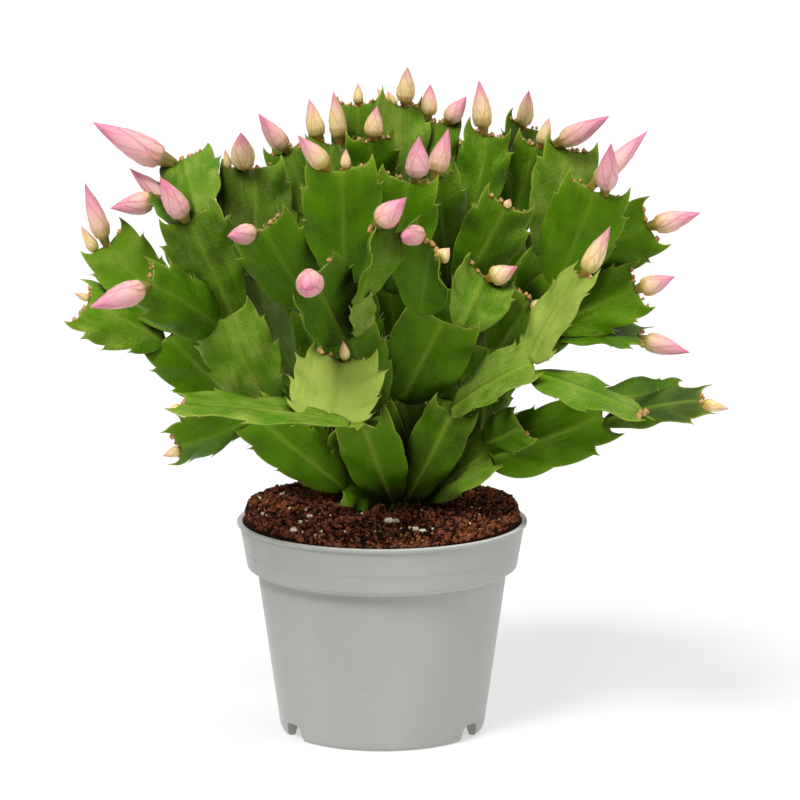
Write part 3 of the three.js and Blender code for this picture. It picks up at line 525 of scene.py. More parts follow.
def petal_skin():
    """Bud petals: an olive foot, cream-yellow above it, and pink that deepens to the tip and the seams."""
    petal = Finish("bud petals", Specular_IOR_Level=0.35, Subsurface_Weight=0.1, Subsurface_Scale=0.002)
    lie = petal.place("lie")
    along = petal.value("along")
    seam = petal.value("seam")
    blush = petal.value("blush")
    vein = petal.grain(petal.stretch(lie, (3.0, 0.3, 1)), 1, detail=4, roughness=0.6)
    cloud = petal.grain(lie, 0.35, detail=3)
    height = along + (vein - 0.5) * 0.25 + (cloud - 0.5) * 0.22
    cream = petal.blend(petal.ramp(height, 0.14, 0.42), tint(184, 168, 74), tint(230, 206, 148))
    pink = petal.blend(petal.ramp(height, 0.45, 1.0), tint(232, 176, 176), tint(218, 128, 162))
    share = petal.ramp(height + blush * 0.8, 0.62, 1.25)
    colour = petal.blend(share, cream, pink)
    line = petal.blend(blush, tint(176, 120, 58), tint(188, 92, 96))
    colour = petal.blend(seam * 0.55, colour, line)
    foot = petal.ramp(along + (vein - 0.5) * 0.05, 0.1, 0.2, 1, 0)
    olive = petal.blend(petal.ramp(blush, 0.2, 0.6), tint(138, 92, 26), tint(116, 104, 26))
    colour = petal.blend(foot * 0.95, colour, olive)
    relief = vein * 1.2 + cloud * 0.5
    roughness = petal.ramp(cloud, 0.3, 0.7, 0.4, 0.5)
    return petal.wear(colour, roughness, relief, strength=0.3, depth=0.0004)


def bead_skin():
    """The tiny first buds and the wool of the areoles: peach-coloured beads with rust-brown scales."""
    bead = Finish("bud beads", Specular_IOR_Level=0.35)
    lie = bead.place("lie")
    cloud = bead.grain(lie, 0.9, detail=3)
    colour = bead.blend(bead.ramp(cloud, 0.35, 0.65), tint(156, 104, 44), tint(216, 170, 108))
    colour = bead.blend(bead.value("seam") * 0.7, colour, tint(112, 66, 26))
    return bead.wear(colour, bead.ramp(cloud, 0.3, 0.7, 0.45, 0.6), cloud, 0.3, 0.0003)


def hair_skin():
    """The thin hairs of the areoles, paler at their tips."""
    hair = Finish("areole hairs", Specular_IOR_Level=0.3)
    along = hair.value("along")
    cloud = hair.grain(hair.position(), 300, detail=2)
    colour = hair.blend(along, tint(176, 160, 84), tint(218, 220, 168))
    return hair.wear(colour, hair.ramp(cloud, 0.3, 0.7, 0.55, 0.7), cloud, 0.3, 0.0001)


def peat():
    """Damp peat: each crumb has its own brown, with finer grain on it."""
    soil = Finish("peat", Specular_IOR_Level=0.12)
    shade = soil.value("shade")
    speck = soil.grain(soil.position(), 900, detail=4, roughness=0.7)
    colour = soil.blend(soil.ramp(shade + (speck - 0.5) * 0.5, 0.1, 0.6), tint(34, 15, 8), tint(124, 68, 44))
    colour = soil.blend(soil.ramp(shade + (speck - 0.5) * 0.4, 0.66, 1.0), colour, tint(168, 108, 72))
    roughness = soil.ramp(speck, 0.3, 0.7, 0.82, 1.0)
    return soil.wear(colour, roughness, speck, strength=0.6, depth=0.0006)


def fibre_skin():
    """Dry strands of peat and root, dark at some places and straw-coloured at others."""
    fibre = Finish("peat fibres", Specular_IOR_Level=0.2)
    speck = fibre.grain(fibre.position(), 500, detail=2)
    colour = fibre.blend(fibre.ramp(speck, 0.35, 0.65), tint(74, 42, 28), tint(150, 104, 70))
    return fibre.wear(colour, fibre.ramp(speck, 0.3, 0.7, 0.75, 0.95), speck, 0.3, 0.0002)


def perlite_skin():
    """White puffed grains with a few tea-brown stains."""
    white = Finish("perlite", Specular_IOR_Level=0.3)
    speck = white.grain(white.position(), 1400, detail=3, roughness=0.7)
    stain = white.grain(white.position(), 260, detail=2)
    colour = white.blend(white.ramp(stain, 0.45, 0.7), tint(250, 242, 220), tint(222, 200, 158))
    return white.wear(colour, white.ramp(speck, 0.3, 0.7, 0.75, 0.95), speck, 0.5, 0.0004)


def pot_plastic():
    """Matt recycled grey: faint flow clouds, pale and dark specks, and a painted highlight along the lip."""
    grey = Finish("pot plastic", Specular_IOR_Level=0.3, Sheen_Weight=0.3, Sheen_Roughness=0.4)
    place = grey.position()
    cloud = grey.grain(grey.stretch(place, (1, 1, 0.35)), 22, detail=4, roughness=0.55)
    specks = grey.cells(place, 520)
    mottle = grey.grain(place, 900, detail=3)
    lip = grey.value("lip")
    colour = grey.blend(grey.ramp(cloud, 0.3, 0.7), tint(158, 161, 154), tint(166, 168, 162))
    colour = grey.blend(grey.ramp(specks, 0.1, 0.22, 0.6, 0) * grey.ramp(mottle, 0.52, 0.6), colour,
                        tint(198, 200, 194))
    colour = grey.blend(grey.ramp(specks, 0.1, 0.2, 0.3, 0) * grey.ramp(mottle, 0.42, 0.34), colour,
                        tint(132, 134, 129))
    # Painted highlight: the top of the lip is made paler
    colour = grey.blend(lip, colour, tint(203, 201, 195))
    roughness = grey.ramp(mottle, 0.3, 0.7, 0.5, 0.6)
    relief = mottle * 0.6 + cloud * 0.8
    return grey.wear(colour, roughness, relief, strength=0.12, depth=0.0005)


# Pieces

class Form:
    """Points, faces and surface values that are gathered into one piece."""

    def __init__(self, *names):
        self.points = []
        self.faces = []
        self.count = 0
        self.values = {name: [] for name in names}
        self.lies = []

    def add(self, points, faces, lie=None, **values):
        points = np.asarray(points, float)
        self.faces.extend(tuple(self.count + i for i in face) for face in faces)
        self.points.append(points)
        self.count += len(points)
        self.lies.append(points if lie is None else np.asarray(lie, float))
        for name, kept in self.values.items():
            kept.append(np.broadcast_to(np.asarray(values[name], float), (len(points),)))

    def piece(self, name, finish, slot, replaced=(), is_smooth=True):
        mesh = bpy.data.meshes.new(name)
        mesh.from_pydata((np.concatenate(self.points) * MM).tolist(), [], self.faces)
        for key, kept in self.values.items():
            attribute = mesh.attributes.new(key, "FLOAT", "POINT")
            attribute.data.foreach_set("value", np.concatenate(kept).astype(np.float32))
        lies = mesh.attributes.new("lie", "FLOAT_VECTOR", "POINT")
        lies.data.foreach_set("vector", np.concatenate(self.lies).astype(np.float32).ravel())
        mesh.polygons.foreach_set("use_smooth", [is_smooth] * len(mesh.polygons))
        show(name, mesh, finish, replaced)


def stand(name, data):
    """A new object in the scene."""
    made = bpy.data.objects.new(name, data)
    bpy.context.scene.collection.objects.link(made)
    return made


def show(name, mesh, finish, replaced=()):
    piece = stand(name, mesh)
    mesh.materials.append(finish)
    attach(piece, "root")
    if replaced:
        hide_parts(*replaced)


def walls(rings, sides):
    """The faces between rings of points that lie one above another."""
    faces = []
    for low in range(0, (rings - 1) * sides, sides):
        for side in range(sides):
            after = (side + 1) % sides
            faces.append((low + side, low + after, low + sides + after, low + sides + side))
    return faces


def ends(rings, sides):
    """The faces that close the lowest ring and the highest."""
    return [tuple(reversed(range(sides))), tuple(range((rings - 1) * sides, rings * sides))]


def repeatable(seed):
    """The same run of numbers between 0 and 1 that sets the teeth of the solid part's pads."""
    states = 2 ** 32
    state = seed * 2654435761 % states
    while True:
        state = (state * 1664525 + 1013904223) % states
        yield state / states


def draw_three(loose, low, high):
    return np.array([loose.uniform(low, high) for _ in range(3)])


def smooth_step(value, low, high):
    share = np.clip((value - low) / (high - low), 0, 1)
    return share * share * (3 - 2 * share)


def curve(start, turn, end, ways):
    """Points on the way from start (0) to end (1) along a curve that bends towards the turn."""
    return [tuple((1 - t) ** 2 * a + 2 * t * (1 - t) * b + t ** 2 * c for a, b, c in zip(start, turn, end))
            for t in ways]


def soil_height(x, y):
    """How high the soil's surface is: a low mound that falls to the front and drops at the pot's wall."""
    reach = np.hypot(x, y)
    front = np.maximum(0, -y / SOIL_RADIUS)
    crown = SOIL_LEVEL - SOIL_CROWN_FALL * (reach / SOIL_RADIUS) ** 2
    mound = crown - SOIL_FRONT_FALL * front ** SOIL_FRONT_CURVE
    edge = smooth_step(reach, SOIL_EDGE_START, SOIL_RADIUS)
    return mound + (SOIL_EDGE_LEVEL - mound) * edge


# Pads

class Pad:
    """One flat joint of a stem, with the directions that its face, its side and its length point in."""

    def __init__(self, name, seed, foot, tip, width, turn, arch, cup, twist, order):
        self.name = name
        self.seed = seed
        self.foot = foot
        self.length = np.linalg.norm(tip - foot)
        self.axis = (tip - foot) / self.length
        flat = FACING - self.axis * FACING.dot(self.axis)
        self.flat = flat / np.linalg.norm(flat)
        self.across = np.cross(self.axis, self.flat)
        self.half = width / 2
        self.is_inner = width <= INNER_WIDTH
        self.turn, self.arch, self.cup, self.twist = turn, arch, cup, twist
        self.order = order
        self.sides_grown = []

    def place(self, across, along, height):
        """Points in space, from how far they lie to the side of the rib, up the pad and off its face."""
        across, along, height = np.broadcast_arrays(*np.atleast_1d(across, along, height))
        share = along / self.length
        angle = np.radians(self.turn + self.twist * (share - 0.5))[:, None]
        face = self.flat * np.cos(angle) + self.across * np.sin(angle)
        side = self.across * np.cos(angle) - self.flat * np.sin(angle)
        lift = self.arch * 4 * share * (1 - share) + self.cup * (across / self.half) ** 2
        flat_point = self.foot + self.axis * along[:, None] + side * across[:, None]
        return flat_point + face * (lift + height)[:, None]

    def apex(self, side_share, sink):
        """A point on the tip, from its left corner (-1) to its right (1), sunk down the pad."""
        return self.place(side_share * APEX_SHARE * self.half, self.length, 0)[0] - self.axis * sink

    def dip(self, side_share):
        """How far the middle of the tip lies below its corners."""
        return self.length * APEX_DIP * (1 - abs(side_share))


def lay_out_pads():
    pads = {}
    stems = {}
    for stem, ((x, y), rows) in STEMS.items():
        stems[stem] = []
        for name, parent, side, tip_x, tip_y, tip_z, width, turn, *bends in rows:
            arch, cup, twist = (*bends, 0, 0, 0)[:3]
            if parent == "soil":
                foot = np.array((x, y, soil_height(x, y) + NECK_RISE - SINK / 2))
                order = 0
            else:
                foot = pads[parent].apex(side, SINK)
                order = pads[parent].order + 1
                pads[parent].sides_grown.append(side)
            tip = np.array((tip_x, tip_y, tip_z), float)
            pad = Pad(name, len(pads) + 1, foot, tip, width, turn, arch, cup, twist, order)
            pads[name] = pad
            stems[stem].append(pad)
    return pads, stems


def bow(start, end, bulge, count):
    """The points of a bowed line after its start, up to its end. It bows to the right by the bulge."""
    (x0, y0), (x1, y1) = start, end
    length = math.hypot(x1 - x0, y1 - y0)
    turn_x = (x0 + x1) / 2 + 2 * bulge * (y1 - y0) / length
    turn_y = (y0 + y1) / 2 - 2 * bulge * (x1 - x0) / length
    return curve(start, (turn_x, turn_y), end, [step / count for step in range(1, count + 1)])


def half_outline(pad, has_tooth, loose):
    """A pad's right margin from its foot to the middle of its tip, and the notches on it."""
    rows = INNER_ROWS if pad.is_inner else BROAD_ROWS if pad.name in BROAD_PADS else PAD_ROWS
    rows = [(share * pad.length, width * pad.half) for share, width in rows]
    tooth_out, tooth_on, horn_on = INNER_TEETH if pad.is_inner else OUTER_TEETH
    line = [(rows[0][1], rows[0][0])]
    notches = []
    at = line[0]
    for band, (y, width) in enumerate(rows[1:-1], 1):
        below = rows[band - 1][1]
        if has_tooth[band - 1] or pad.name in SAW_PADS or (pad.is_inner and loose.random() < 0.8):
            reach = max(below, width) + tooth_out * loose.uniform(0.8, 1.25)
            tip = (reach, y + tooth_on * loose.uniform(0.75, 1))
            throat = (reach - tooth_out * loose.uniform(0.6, 0.8), tip[1] - loose.uniform(2, 3.2))
            notch = (width - loose.uniform(0.2, 0.9), y + loose.uniform(0.7, 1.2))
            line += bow(at, throat, loose.uniform(0.04, 0.08) * math.dist(at, throat), 9)
            line += bow(throat, tip, -0.22, 5)
            line += bow(tip, notch, -0.4, 5)
            notches.append(notch)
            at = notch
        else:
            end = (width, y)
            bulge = loose.uniform(0.05, 0.085) * math.dist(at, end)
            line += bow(at, end, bulge, 9)
            at = end
    y, width = rows[-1]
    horn = (width + HORN_OUT * loose.uniform(0.6, 1.1), y + horn_on * loose.uniform(0.85, 1.3))
    shoulder = (width * loose.uniform(0.74, 0.82), y - loose.uniform(0.3, 0.8))
    middle = (0, y * (1 - APEX_DIP))
    line += bow(at, horn, loose.uniform(0.04, 0.08) * math.dist(at, horn), 9)
    line += bow(horn, shoulder, -0.12 * math.dist(horn, shoulder), 6)
    notches.append(shoulder)
    line += bow(shoulder, middle, loose.uniform(-0.1, 0.35), 8)
    return line, notches


def outline(pad):
    """The pad's whole margin, flat, and its notches."""
    loose = random.Random(pad.seed * 31)
    draws = repeatable(pad.seed)
    chances = (0, 0) if pad.is_inner else PLAIN_CHANCE if pad.order == 0 else TOOTH_CHANCE
    right_teeth = []
    left_teeth = []
    for chance in chances:
        right_teeth.append(next(draws) < chance)
        left_teeth.append(next(draws) < chance)
    right, right_notches = half_outline(pad, right_teeth, loose)
    left, left_notches = half_outline(pad, left_teeth, loose)
    line = right + [(-x, y) for x, y in reversed(left[:-1])]
    notches = [(x, y, 1) for x, y in right_notches] + [(-x, y, -1) for x, y in left_notches]
    return np.array(line), notches


def rim_distance(points, line):
    """How far flat points lie from a closed line."""
    start = line[None]
    run = np.roll(line, -1, axis=0)[None] - start
    off = points[:, None] - start
    share = np.clip((off * run).sum(-1) / (run * run).sum(-1), 0, 1)
    return np.linalg.norm(off - run * share[..., None], axis=-1).min(axis=1)


def is_inside(points, line):
    x, y = points[:, :1], points[:, 1:]
    x0, y0 = line[:, 0], line[:, 1]
    x1, y1 = np.roll(x0, -1), np.roll(y0, -1)
    crosses = ((y0 > y) != (y1 > y)) & (x < (x1 - x0) * (y - y0) / np.where(y1 == y0, 1, y1 - y0) + x0)
    return crosses.sum(axis=1) % 2 == 1


def outward_ways(line):
    """At each point of a closed line, the direction that points out of it."""
    ahead = np.roll(line, -1, axis=0) - np.roll(line, 1, axis=0)
    return np.stack((ahead[:, 1], -ahead[:, 0]), axis=1) / np.linalg.norm(ahead, axis=1)[:, None]


def well_inside(points, line, gap):
    """Those points that lie within a closed line, further from it than the gap."""
    return points[(rim_distance(points, line) > gap) & is_inside(points, line)]


def flat_mesh(line, length):
    """The pad's flat form, filled with small triangles that follow its rim and its rib."""
    spots = [well_inside(line - outward_ways(line) * 0.55, line, 0.4)]
    rib_ups = np.arange(2, length * (1 - APEX_DIP) - 1.2, 2.1)
    for offset in (-1.7, -0.8, 0, 0.8, 1.7):
        rib = np.stack((np.full_like(rib_ups, offset), rib_ups + abs(offset) * 0.3), axis=1)
        spots.append(well_inside(rib, line, 0.9))
    rows = np.arange(0, line[:, 1].max(), GRID_STEP * 0.87)
    columns = np.arange(-line[:, 0].max() - 5, line[:, 0].max() + 5, GRID_STEP)
    grid = np.array([(x + (row % 2) * GRID_STEP / 2, y) for row, y in enumerate(rows) for x in columns])
    spots.append(well_inside(grid[np.abs(grid[:, 0]) > RIB_BAND], line, 1.3))
    flat = np.concatenate((line, *spots))
    count = len(line)
    made = delaunay_2d_cdt([Vector(p) for p in flat], [], [list(range(count))], 1, 1e-5)
    points = np.array([tuple(p) for p in made[0]])
    return points, made[2], count


def add_pad(form, pad, age):
    """Adds a pad's whole skin and returns its notches. Age is 1 for a pad that has turned woody."""
    line, notches = outline(pad)
    flat, triangles, count = flat_mesh(line, pad.length)
    x, y = flat[:, 0], flat[:, 1]
    off_rim = rim_distance(flat, line)
    share = y / pad.length
    reach = np.abs(x) / pad.half
    loose = random.Random(pad.seed * 17)
    # The blade is thin at its rim and swells to the rib, which is strong on the oldest pads
    rib = np.exp(-(x / RIB_HALF) ** 2) * smooth_step(off_rim, 0, 1.5)
    swell = 0.24 + 0.42 * (1 - np.exp(-off_rim / 1.6)) + 0.25 * np.exp(-(x / 3.4) ** 2)
    thick = swell + rib * (0.75 + 0.9 * age) * (1.1 - 0.8 * share)
    # The wings bend along slanting veins, each side by its own draw
    phase = np.where(x > 0, loose.uniform(0, 6.28), loose.uniform(0, 6.28))
    waves = np.sin(phase + 2 * math.pi * (share * WAVE_COUNT - 0.55 * reach))
    bend = WAVE_HEIGHT * waves * smooth_step(reach, 0.12, 0.9) * smooth_step(share, 0.02, 0.3)
    keel = loose.uniform(-0.5, 1.4) * smooth_step(reach, 0, 0.4)
    middle = bend + keel
    half = np.where(np.arange(len(flat)) < count, RIM_HALF, thick)
    top = pad.place(x, y, middle + half)
    back = pad.place(x, y, middle - half)
    lip = line + outward_ways(line) * 0.1
    edge_points = pad.place(lip[:, 0], lip[:, 1], middle[:count])
    total = len(flat)
    faces = [tuple(face) for face in triangles]
    faces += [tuple(i + total for i in reversed(face)) for face in triangles]
    for i in range(count):
        j = (i + 1) % count
        edge_i, edge_j = 2 * total + i, 2 * total + j
        faces.append((i, edge_i, edge_j, j))
        faces.append((edge_i, total + i, total + j, edge_j))
    # Each pad's grain starts elsewhere, and so does its back's
    lie = np.stack((x + pad.seed * 61.7, y, np.zeros(total)), axis=1)
    back_lie = lie + (0, 500, 0)
    edge = np.exp(-off_rim / 0.28) * (0.35 + 0.65 * smooth_step(share, 0.55, 0.95))
    # The pad's paleness from the table: partly its own colour and partly painted light and shade
    tone = TONES_AND_LIGHT.get(pad.name, USUAL_TONE_AND_LIGHT) + loose.uniform(-0.04, 0.04)
    form.add(
        np.concatenate((top, back, edge_points)), faces,
        lie=np.concatenate((lie, back_lie, lie[:count])),
        along=np.concatenate((share, share, share[:count])),
        rib=np.concatenate((rib, rib, np.zeros(count))),
        edge=np.concatenate((edge, edge, edge[:count])),
        age=age,
        tone=tone,
    )
    return notches


def add_neck(form, x, y, rings=9, sides=14):
    """The woody neck, ringed and a little crooked, that stands in the soil."""
    level = float(soil_height(x, y))
    points = []
    for ring in range(rings):
        share = ring / (rings - 1)
        z = level - NECK_DEPTH + 1 + share * (NECK_DEPTH + NECK_RISE)
        bump = 1 + 0.1 * math.sin(ring * 2.4 + x)
        for side in range(sides):
            angle = 2 * math.pi * side / sides
            radius = NECK_RADIUS * bump * (1 + 0.07 * math.cos(3 * angle + y))
            points.append((x + radius * math.cos(angle), y + radius * math.sin(angle), z))
    form.add(points, ends(rings, sides) + walls(rings, sides), along=0, rib=0, edge=0, age=1.3, tone=0.2)


def add_hair(form, foot, heading, length, thickness, loose, rings=5, sides=3):
    """One thin tapered hair that curves a little as it leaves its foot."""
    heading = heading / np.linalg.norm(heading)
    drift = draw_three(loose, -1, 1) * 0.45
    across = np.cross(heading, (0.3, 0.5, 0.8))
    across /= np.linalg.norm(across)
    up = np.cross(heading, across)
    points = []
    shares = []
    for ring in range(rings):
        share = ring / (rings - 1)
        centre = foot + (heading + drift * share) * share * length
        radius = thickness * (1 - 0.85 * share)
        for side in range(sides):
            angle = 2 * math.pi * side / sides
            points.append(centre + radius * (across * math.cos(angle) + up * math.sin(angle)))
            shares.append(share)
    form.add(points, ends(rings, sides) + walls(rings, sides), along=shares)


# Buds

def bud_grid(foot, tip, radius, rows, columns, seed):
    """A bud's skin: a ridged green foot, then pointed petals that overlap in a spiral up to the tip."""
    loose = random.Random(seed)
    axis = tip - foot
    length = np.linalg.norm(axis)
    axis = axis / length
    across = np.cross((1.0, 0, 0), axis)
    across /= np.linalg.norm(across)
    up = np.cross(axis, across)
    around = np.linspace(0, 2 * math.pi, columns, endpoint=False)
    share, angle = np.meshgrid(np.linspace(0, 1, rows), around, indexing="ij")
    share = share ** 1.02
    body = np.interp(share, BUD_KNOTS, BUD_SIZES)
    body = body + 0.035 * np.cos(5 * angle + seed) * (share < BUD_FOOT)
    relief = np.zeros_like(share)
    seam = np.zeros_like(share)
    for number, (end, wide) in enumerate(PETALS):
        centre = 2.4 * number + seed + loose.uniform(-0.2, 0.2)
        way = np.clip((share - BUD_FOOT) / (end - BUD_FOOT), 0, 1)
        half = wide * (1 - way ** 1.7) ** 0.9 * (0.8 + 0.2 * np.minimum(way * 6, 1))
        turn = angle + 0.5 * share - centre
        off = np.abs((turn + math.pi) % (2 * math.pi) - math.pi)
        rim = (half - off) * np.maximum(body, 0.15)
        on_petal = (share >= BUD_FOOT) * (share <= end)
        inside = smooth_step(rim, -0.06, 0.08) * on_petal
        lined = smooth_step(rim, -0.11, 0.12) * on_petal
        relief = relief + PETAL_RELIEF * inside * np.minimum(1, (1.02 - share) * 6)
        seam = np.maximum(seam, 4 * lined * (1 - lined) * (way > 0.05))
    size = (body + relief * 0.6) * radius * 0.94
    size[-1] = 0
    sideways = np.array((0, 0, -1.0)) - axis * -axis[2]
    belly = 0.1 * radius * 4 * share * (1 - share)
    points = foot + axis * (share * length)[..., None]
    points = points + sideways * belly[..., None]
    points = points + (across * np.cos(angle)[..., None] + up * np.sin(angle)[..., None]) * size[..., None]
    lie = np.stack((angle * radius * 0.9 + seed * 37, share * length, np.zeros_like(share)), axis=-1)
    faces = walls(rows, columns) + ends(rows, columns)[:1]
    return points.reshape(-1, 3), faces, lie.reshape(-1, 3), share.ravel(), seam.ravel()


def add_bud(form, foot, tip, radius, blush, seed, rows=56, columns=72):
    points, faces, lie, share, seam = bud_grid(foot, tip, radius, rows, columns, seed)
    form.add(points, faces, lie=lie, along=share, seam=seam, blush=blush)


def add_bead(form, centre, radius, loose):
    """A tiny scaly bud bead."""
    ways = np.array([loose.uniform(-0.35, 0.35), loose.uniform(-0.35, 0.35), 1.0])
    foot = centre - ways * radius
    tip = centre + ways * radius * 1.3
    seed = loose.random() * 6
    points, faces, lie, share, seam = bud_grid(foot, tip, radius, rows=11, columns=10, seed=seed)
    form.add(points, faces, lie=lie, seam=np.maximum(seam, share < 0.2))


# Soil and pot

def add_soil_bed(form):
    """The soil's body: a rough crumbly top, and the plain form of the pot below it."""
    inset = WALL + SOIL_CLEARANCE
    low = CHANNEL_LIFT + FLOOR + SOIL_CLEARANCE
    below = [(0.01, low), (FOOT_RADIUS - inset, low), (BODY_TOP_RADIUS - inset, BODY_TOP + WALL),
             (COLLAR_FOOT_RADIUS - inset, COLLAR_FOOT + WALL)]
    rows = below + [(SOIL_RADIUS * (1 - ring / SOIL_RINGS), None) for ring in range(SOIL_RINGS)]
    angle = np.linspace(0, 2 * math.pi, SOIL_SECTORS, endpoint=False)
    points = []
    for radius, height in rows:
        x, y = radius * np.cos(angle), radius * np.sin(angle)
        if height is None:
            z = soil_height(x, y) - 0.9
            ripple = np.sin(x * 0.9 + 1.3) * np.cos(y * 0.8) + np.sin(x * 0.37 - y * 0.51)
            fine = np.sin(x * 2.9 + y * 1.7) * np.sin(y * 3.3 - x * 1.1)
            z = z + 0.4 * ripple + 0.3 * fine * (radius < SOIL_EDGE_START)
        else:
            z = np.full_like(x, height)
        points.append(np.stack((x, y, z), axis=1))
    faces = walls(len(rows), SOIL_SECTORS) + ends(len(rows), SOIL_SECTORS)
    form.add(np.concatenate(points), faces, shade=0.15)


def lumps(loose, count, subdivisions=1, rough=0.3):
    """Some small angular lumps, each about one unit in radius, as points and faces."""
    made = bmesh.new()
    bmesh.ops.create_icosphere(made, subdivisions=subdivisions, radius=1)
    ball = np.array([vertex.co for vertex in made.verts])
    faces = [tuple(vertex.index for vertex in face.verts) for face in made.faces]
    made.free()
    return [(ball * np.array([loose.uniform(1 - rough, 1 + rough) for _ in ball])[:, None], faces)
            for _ in range(count)]


def on_soil(x, y, lift):
    """A point that is lifted off the soil's surface."""
    return np.array((x, y, float(soil_height(x, y)) + lift))


def turned(points, loose):
    """The points, turned a random way about the middle."""
    square = np.array([[loose.gauss(0, 1) for _ in range(3)] for _ in range(3)])
    turn, _ = np.linalg.qr(square)
    if np.linalg.det(turn) < 0:
        turn[:, 0] = -turn[:, 0]
    return points @ turn.T


def scatter_spot(loose, reach):
    """A place on the soil by chance, as likely in any part of it."""
    radius = reach * math.sqrt(loose.random())
    angle = loose.uniform(0, 2 * math.pi)
    return radius * math.cos(angle), radius * math.sin(angle)


def add_crumbs(form, loose, count, sizes, lifts, shades):
    """Crumbs of peat by chance over the soil, lifted by a share of their own size."""
    shapes = lumps(loose, 8)
    for number in range(count):
        points, faces = shapes[number % len(shapes)]
        size = loose.uniform(*sizes) * loose.uniform(0.7, 1)
        lump = points * draw_three(loose, 0.7, 1.15) * size
        x, y = scatter_spot(loose, CRUMB_REACH - size)
        place = on_soil(x, y, size * loose.uniform(*lifts) - CRUMB_SINK)
        form.add(turned(lump, loose) + place, faces, shade=loose.uniform(*shades))


def add_rim_crumbs(form, loose):
    """Crumbs on the steep edge where the soil falls to the pot's wall."""
    shapes = lumps(loose, 6)
    for number in range(RIM_CRUMBS):
        points, faces = shapes[number % len(shapes)]
        size = loose.uniform(0.4, 1.1)
        radius = loose.uniform(SOIL_EDGE_START - 0.6, SOIL_RADIUS - 0.2 - size * 0.8)
        angle = loose.uniform(0, 2 * math.pi)
        place = on_soil(radius * math.cos(angle), radius * math.sin(angle), -loose.uniform(0, 0.6))
        form.add(turned(points * size, loose) + place, faces, shade=loose.uniform(0, 0.8))


def add_perlite(form, loose):
    """White puffed grains: a few in the places that show best, and more by chance."""
    shapes = lumps(loose, 6, subdivisions=2, rough=0.1)
    spots = list(SEEN_PERLITE)
    for _ in range(PERLITE_COUNT):
        spots.append((*scatter_spot(loose, SCATTER_REACH), loose.uniform(0.25, 0.8)))
    for number, (x, y, size) in enumerate(spots):
        for lump in range(2 if size > 1 else 1):
            points, faces = shapes[(number + lump) % len(shapes)]
            grain = points * draw_three(loose, 0.75, 1.1) * size
            place = on_soil(x, y, 0.25 * size) + (lump * size * 0.9, 0, 0)
            form.add(turned(grain, loose) + place, faces)


def add_fibres(form, loose):
    """Loose strands of peat and root that lie across the crumbs."""
    for _ in range(FIBRE_COUNT):
        x, y = scatter_spot(loose, SCATTER_REACH)
        foot = on_soil(x, y, loose.uniform(0, 0.9))
        heading = np.array((loose.uniform(-1, 1), loose.uniform(-1, 1), loose.uniform(-0.12, 0.2)))
        add_hair(form, foot, heading, loose.uniform(2, 6), loose.uniform(0.09, 0.2), loose)


def join_rings(made, low, high):
    """Faces between two rings of points, with triangles where a ring is a single point."""
    for number in range(len(low)):
        after = (number + 1) % len(low)
        corners = tuple(dict.fromkeys((low[number], low[after], high[after], high[number])))
        if len(corners) > 2:
            made.faces.new(corners)


def lathe(profile, sectors):
    """A closed profile of radius and height, turned about the upright axis."""
    made = bmesh.new()
    angles = [2 * math.pi * sector / sectors for sector in range(sectors)]
    rows = []
    for radius, height in profile:
        if radius == 0:
            rows.append([made.verts.new((0, 0, height * MM))] * sectors)
        else:
            rows.append([made.verts.new((radius * MM * math.cos(a), radius * MM * math.sin(a), height * MM))
                         for a in angles])
    for low, high in zip(rows, rows[1:] + rows[:1]):
        join_rings(made, low, high)
    bmesh.ops.recalc_face_normals(made, faces=made.faces)
    return made


def corner(before, at, after, radius):
    """A profile's corner, rounded off by a short bow that keeps the runs beside it flat."""
    before, at, after = (np.array(p, float) for p in (before, at, after))
    back = (before - at) / np.linalg.norm(before - at) * radius
    on = (after - at) / np.linalg.norm(after - at) * radius
    spots = curve(at + back, at, at + on, np.linspace(0, 1, CORNER_STEPS))
    return [tuple(at + back * HOLD), *spots, tuple(at + on * HOLD)]


def pot_profile():
    """From the middle of the foot, up the outside, over the lip and down the inside."""
    line = [
        ((0, 0), 0), ((CHANNEL_INNER, 0), 0.5), ((CHANNEL_INNER + 1, CHANNEL_LIFT), 0.4),
        ((CHANNEL_OUTER, CHANNEL_LIFT), 0.4), ((CHANNEL_OUTER + 1, 0), 0.3),
        ((FOOT_RADIUS - 0.4, 0), 1.5), ((FOOT_RADIUS + 0.3, FOOT_ROUND + 0.4), 1.2),
        ((BODY_TOP_RADIUS, BODY_TOP), 0.6), ((COLLAR_FOOT_RADIUS, COLLAR_FOOT), 0.7),
        ((LINE_RADIUS - 0.15, COLLAR_LINE - 0.9), 0.1), ((LINE_RADIUS, COLLAR_LINE - 0.75), 0.08),
        ((LINE_RADIUS - 0.1, COLLAR_LINE - 0.2), 0.1), ((LINE_RADIUS + 0.1, COLLAR_LINE), 0.08),
        ((COLLAR_TOP_RADIUS, POT_HEIGHT - LIP_HEIGHT - 0.5), 0.3),
        ((LIP_RADIUS, POT_HEIGHT - LIP_HEIGHT), 0.3), ((LIP_RADIUS, POT_HEIGHT), 0.45),
        ((COLLAR_TOP_RADIUS - WALL, POT_HEIGHT), 0.5), ((COLLAR_FOOT_RADIUS - WALL, COLLAR_FOOT + 0.7), 0.5),
        ((BODY_TOP_RADIUS - WALL, BODY_TOP + 0.7), 0.5), ((FOOT_RADIUS - WALL, CHANNEL_LIFT + FLOOR), 0.8),
        ((CHANNEL_INNER, CHANNEL_LIFT + FLOOR), 0.4), ((CHANNEL_INNER - 1, FLOOR), 0.4), ((0, FLOOR), 0),
    ]
    spots = [spot for spot, _ in line]
    profile = []
    for number, (spot, radius) in enumerate(line):
        if radius == 0:
            profile.append(spot)
        else:
            profile += corner(spots[number - 1], spot, spots[number + 1], radius)
    return profile


def block(made, rows):
    """A closed block through rows of points, from the lowest up."""
    rows = [[made.verts.new([value * MM for value in spot]) for spot in row] for row in rows]
    for low, high in zip(rows, rows[1:]):
        join_rings(made, low, high)
    made.faces.new(rows[0][::-1])
    made.faces.new(rows[-1])


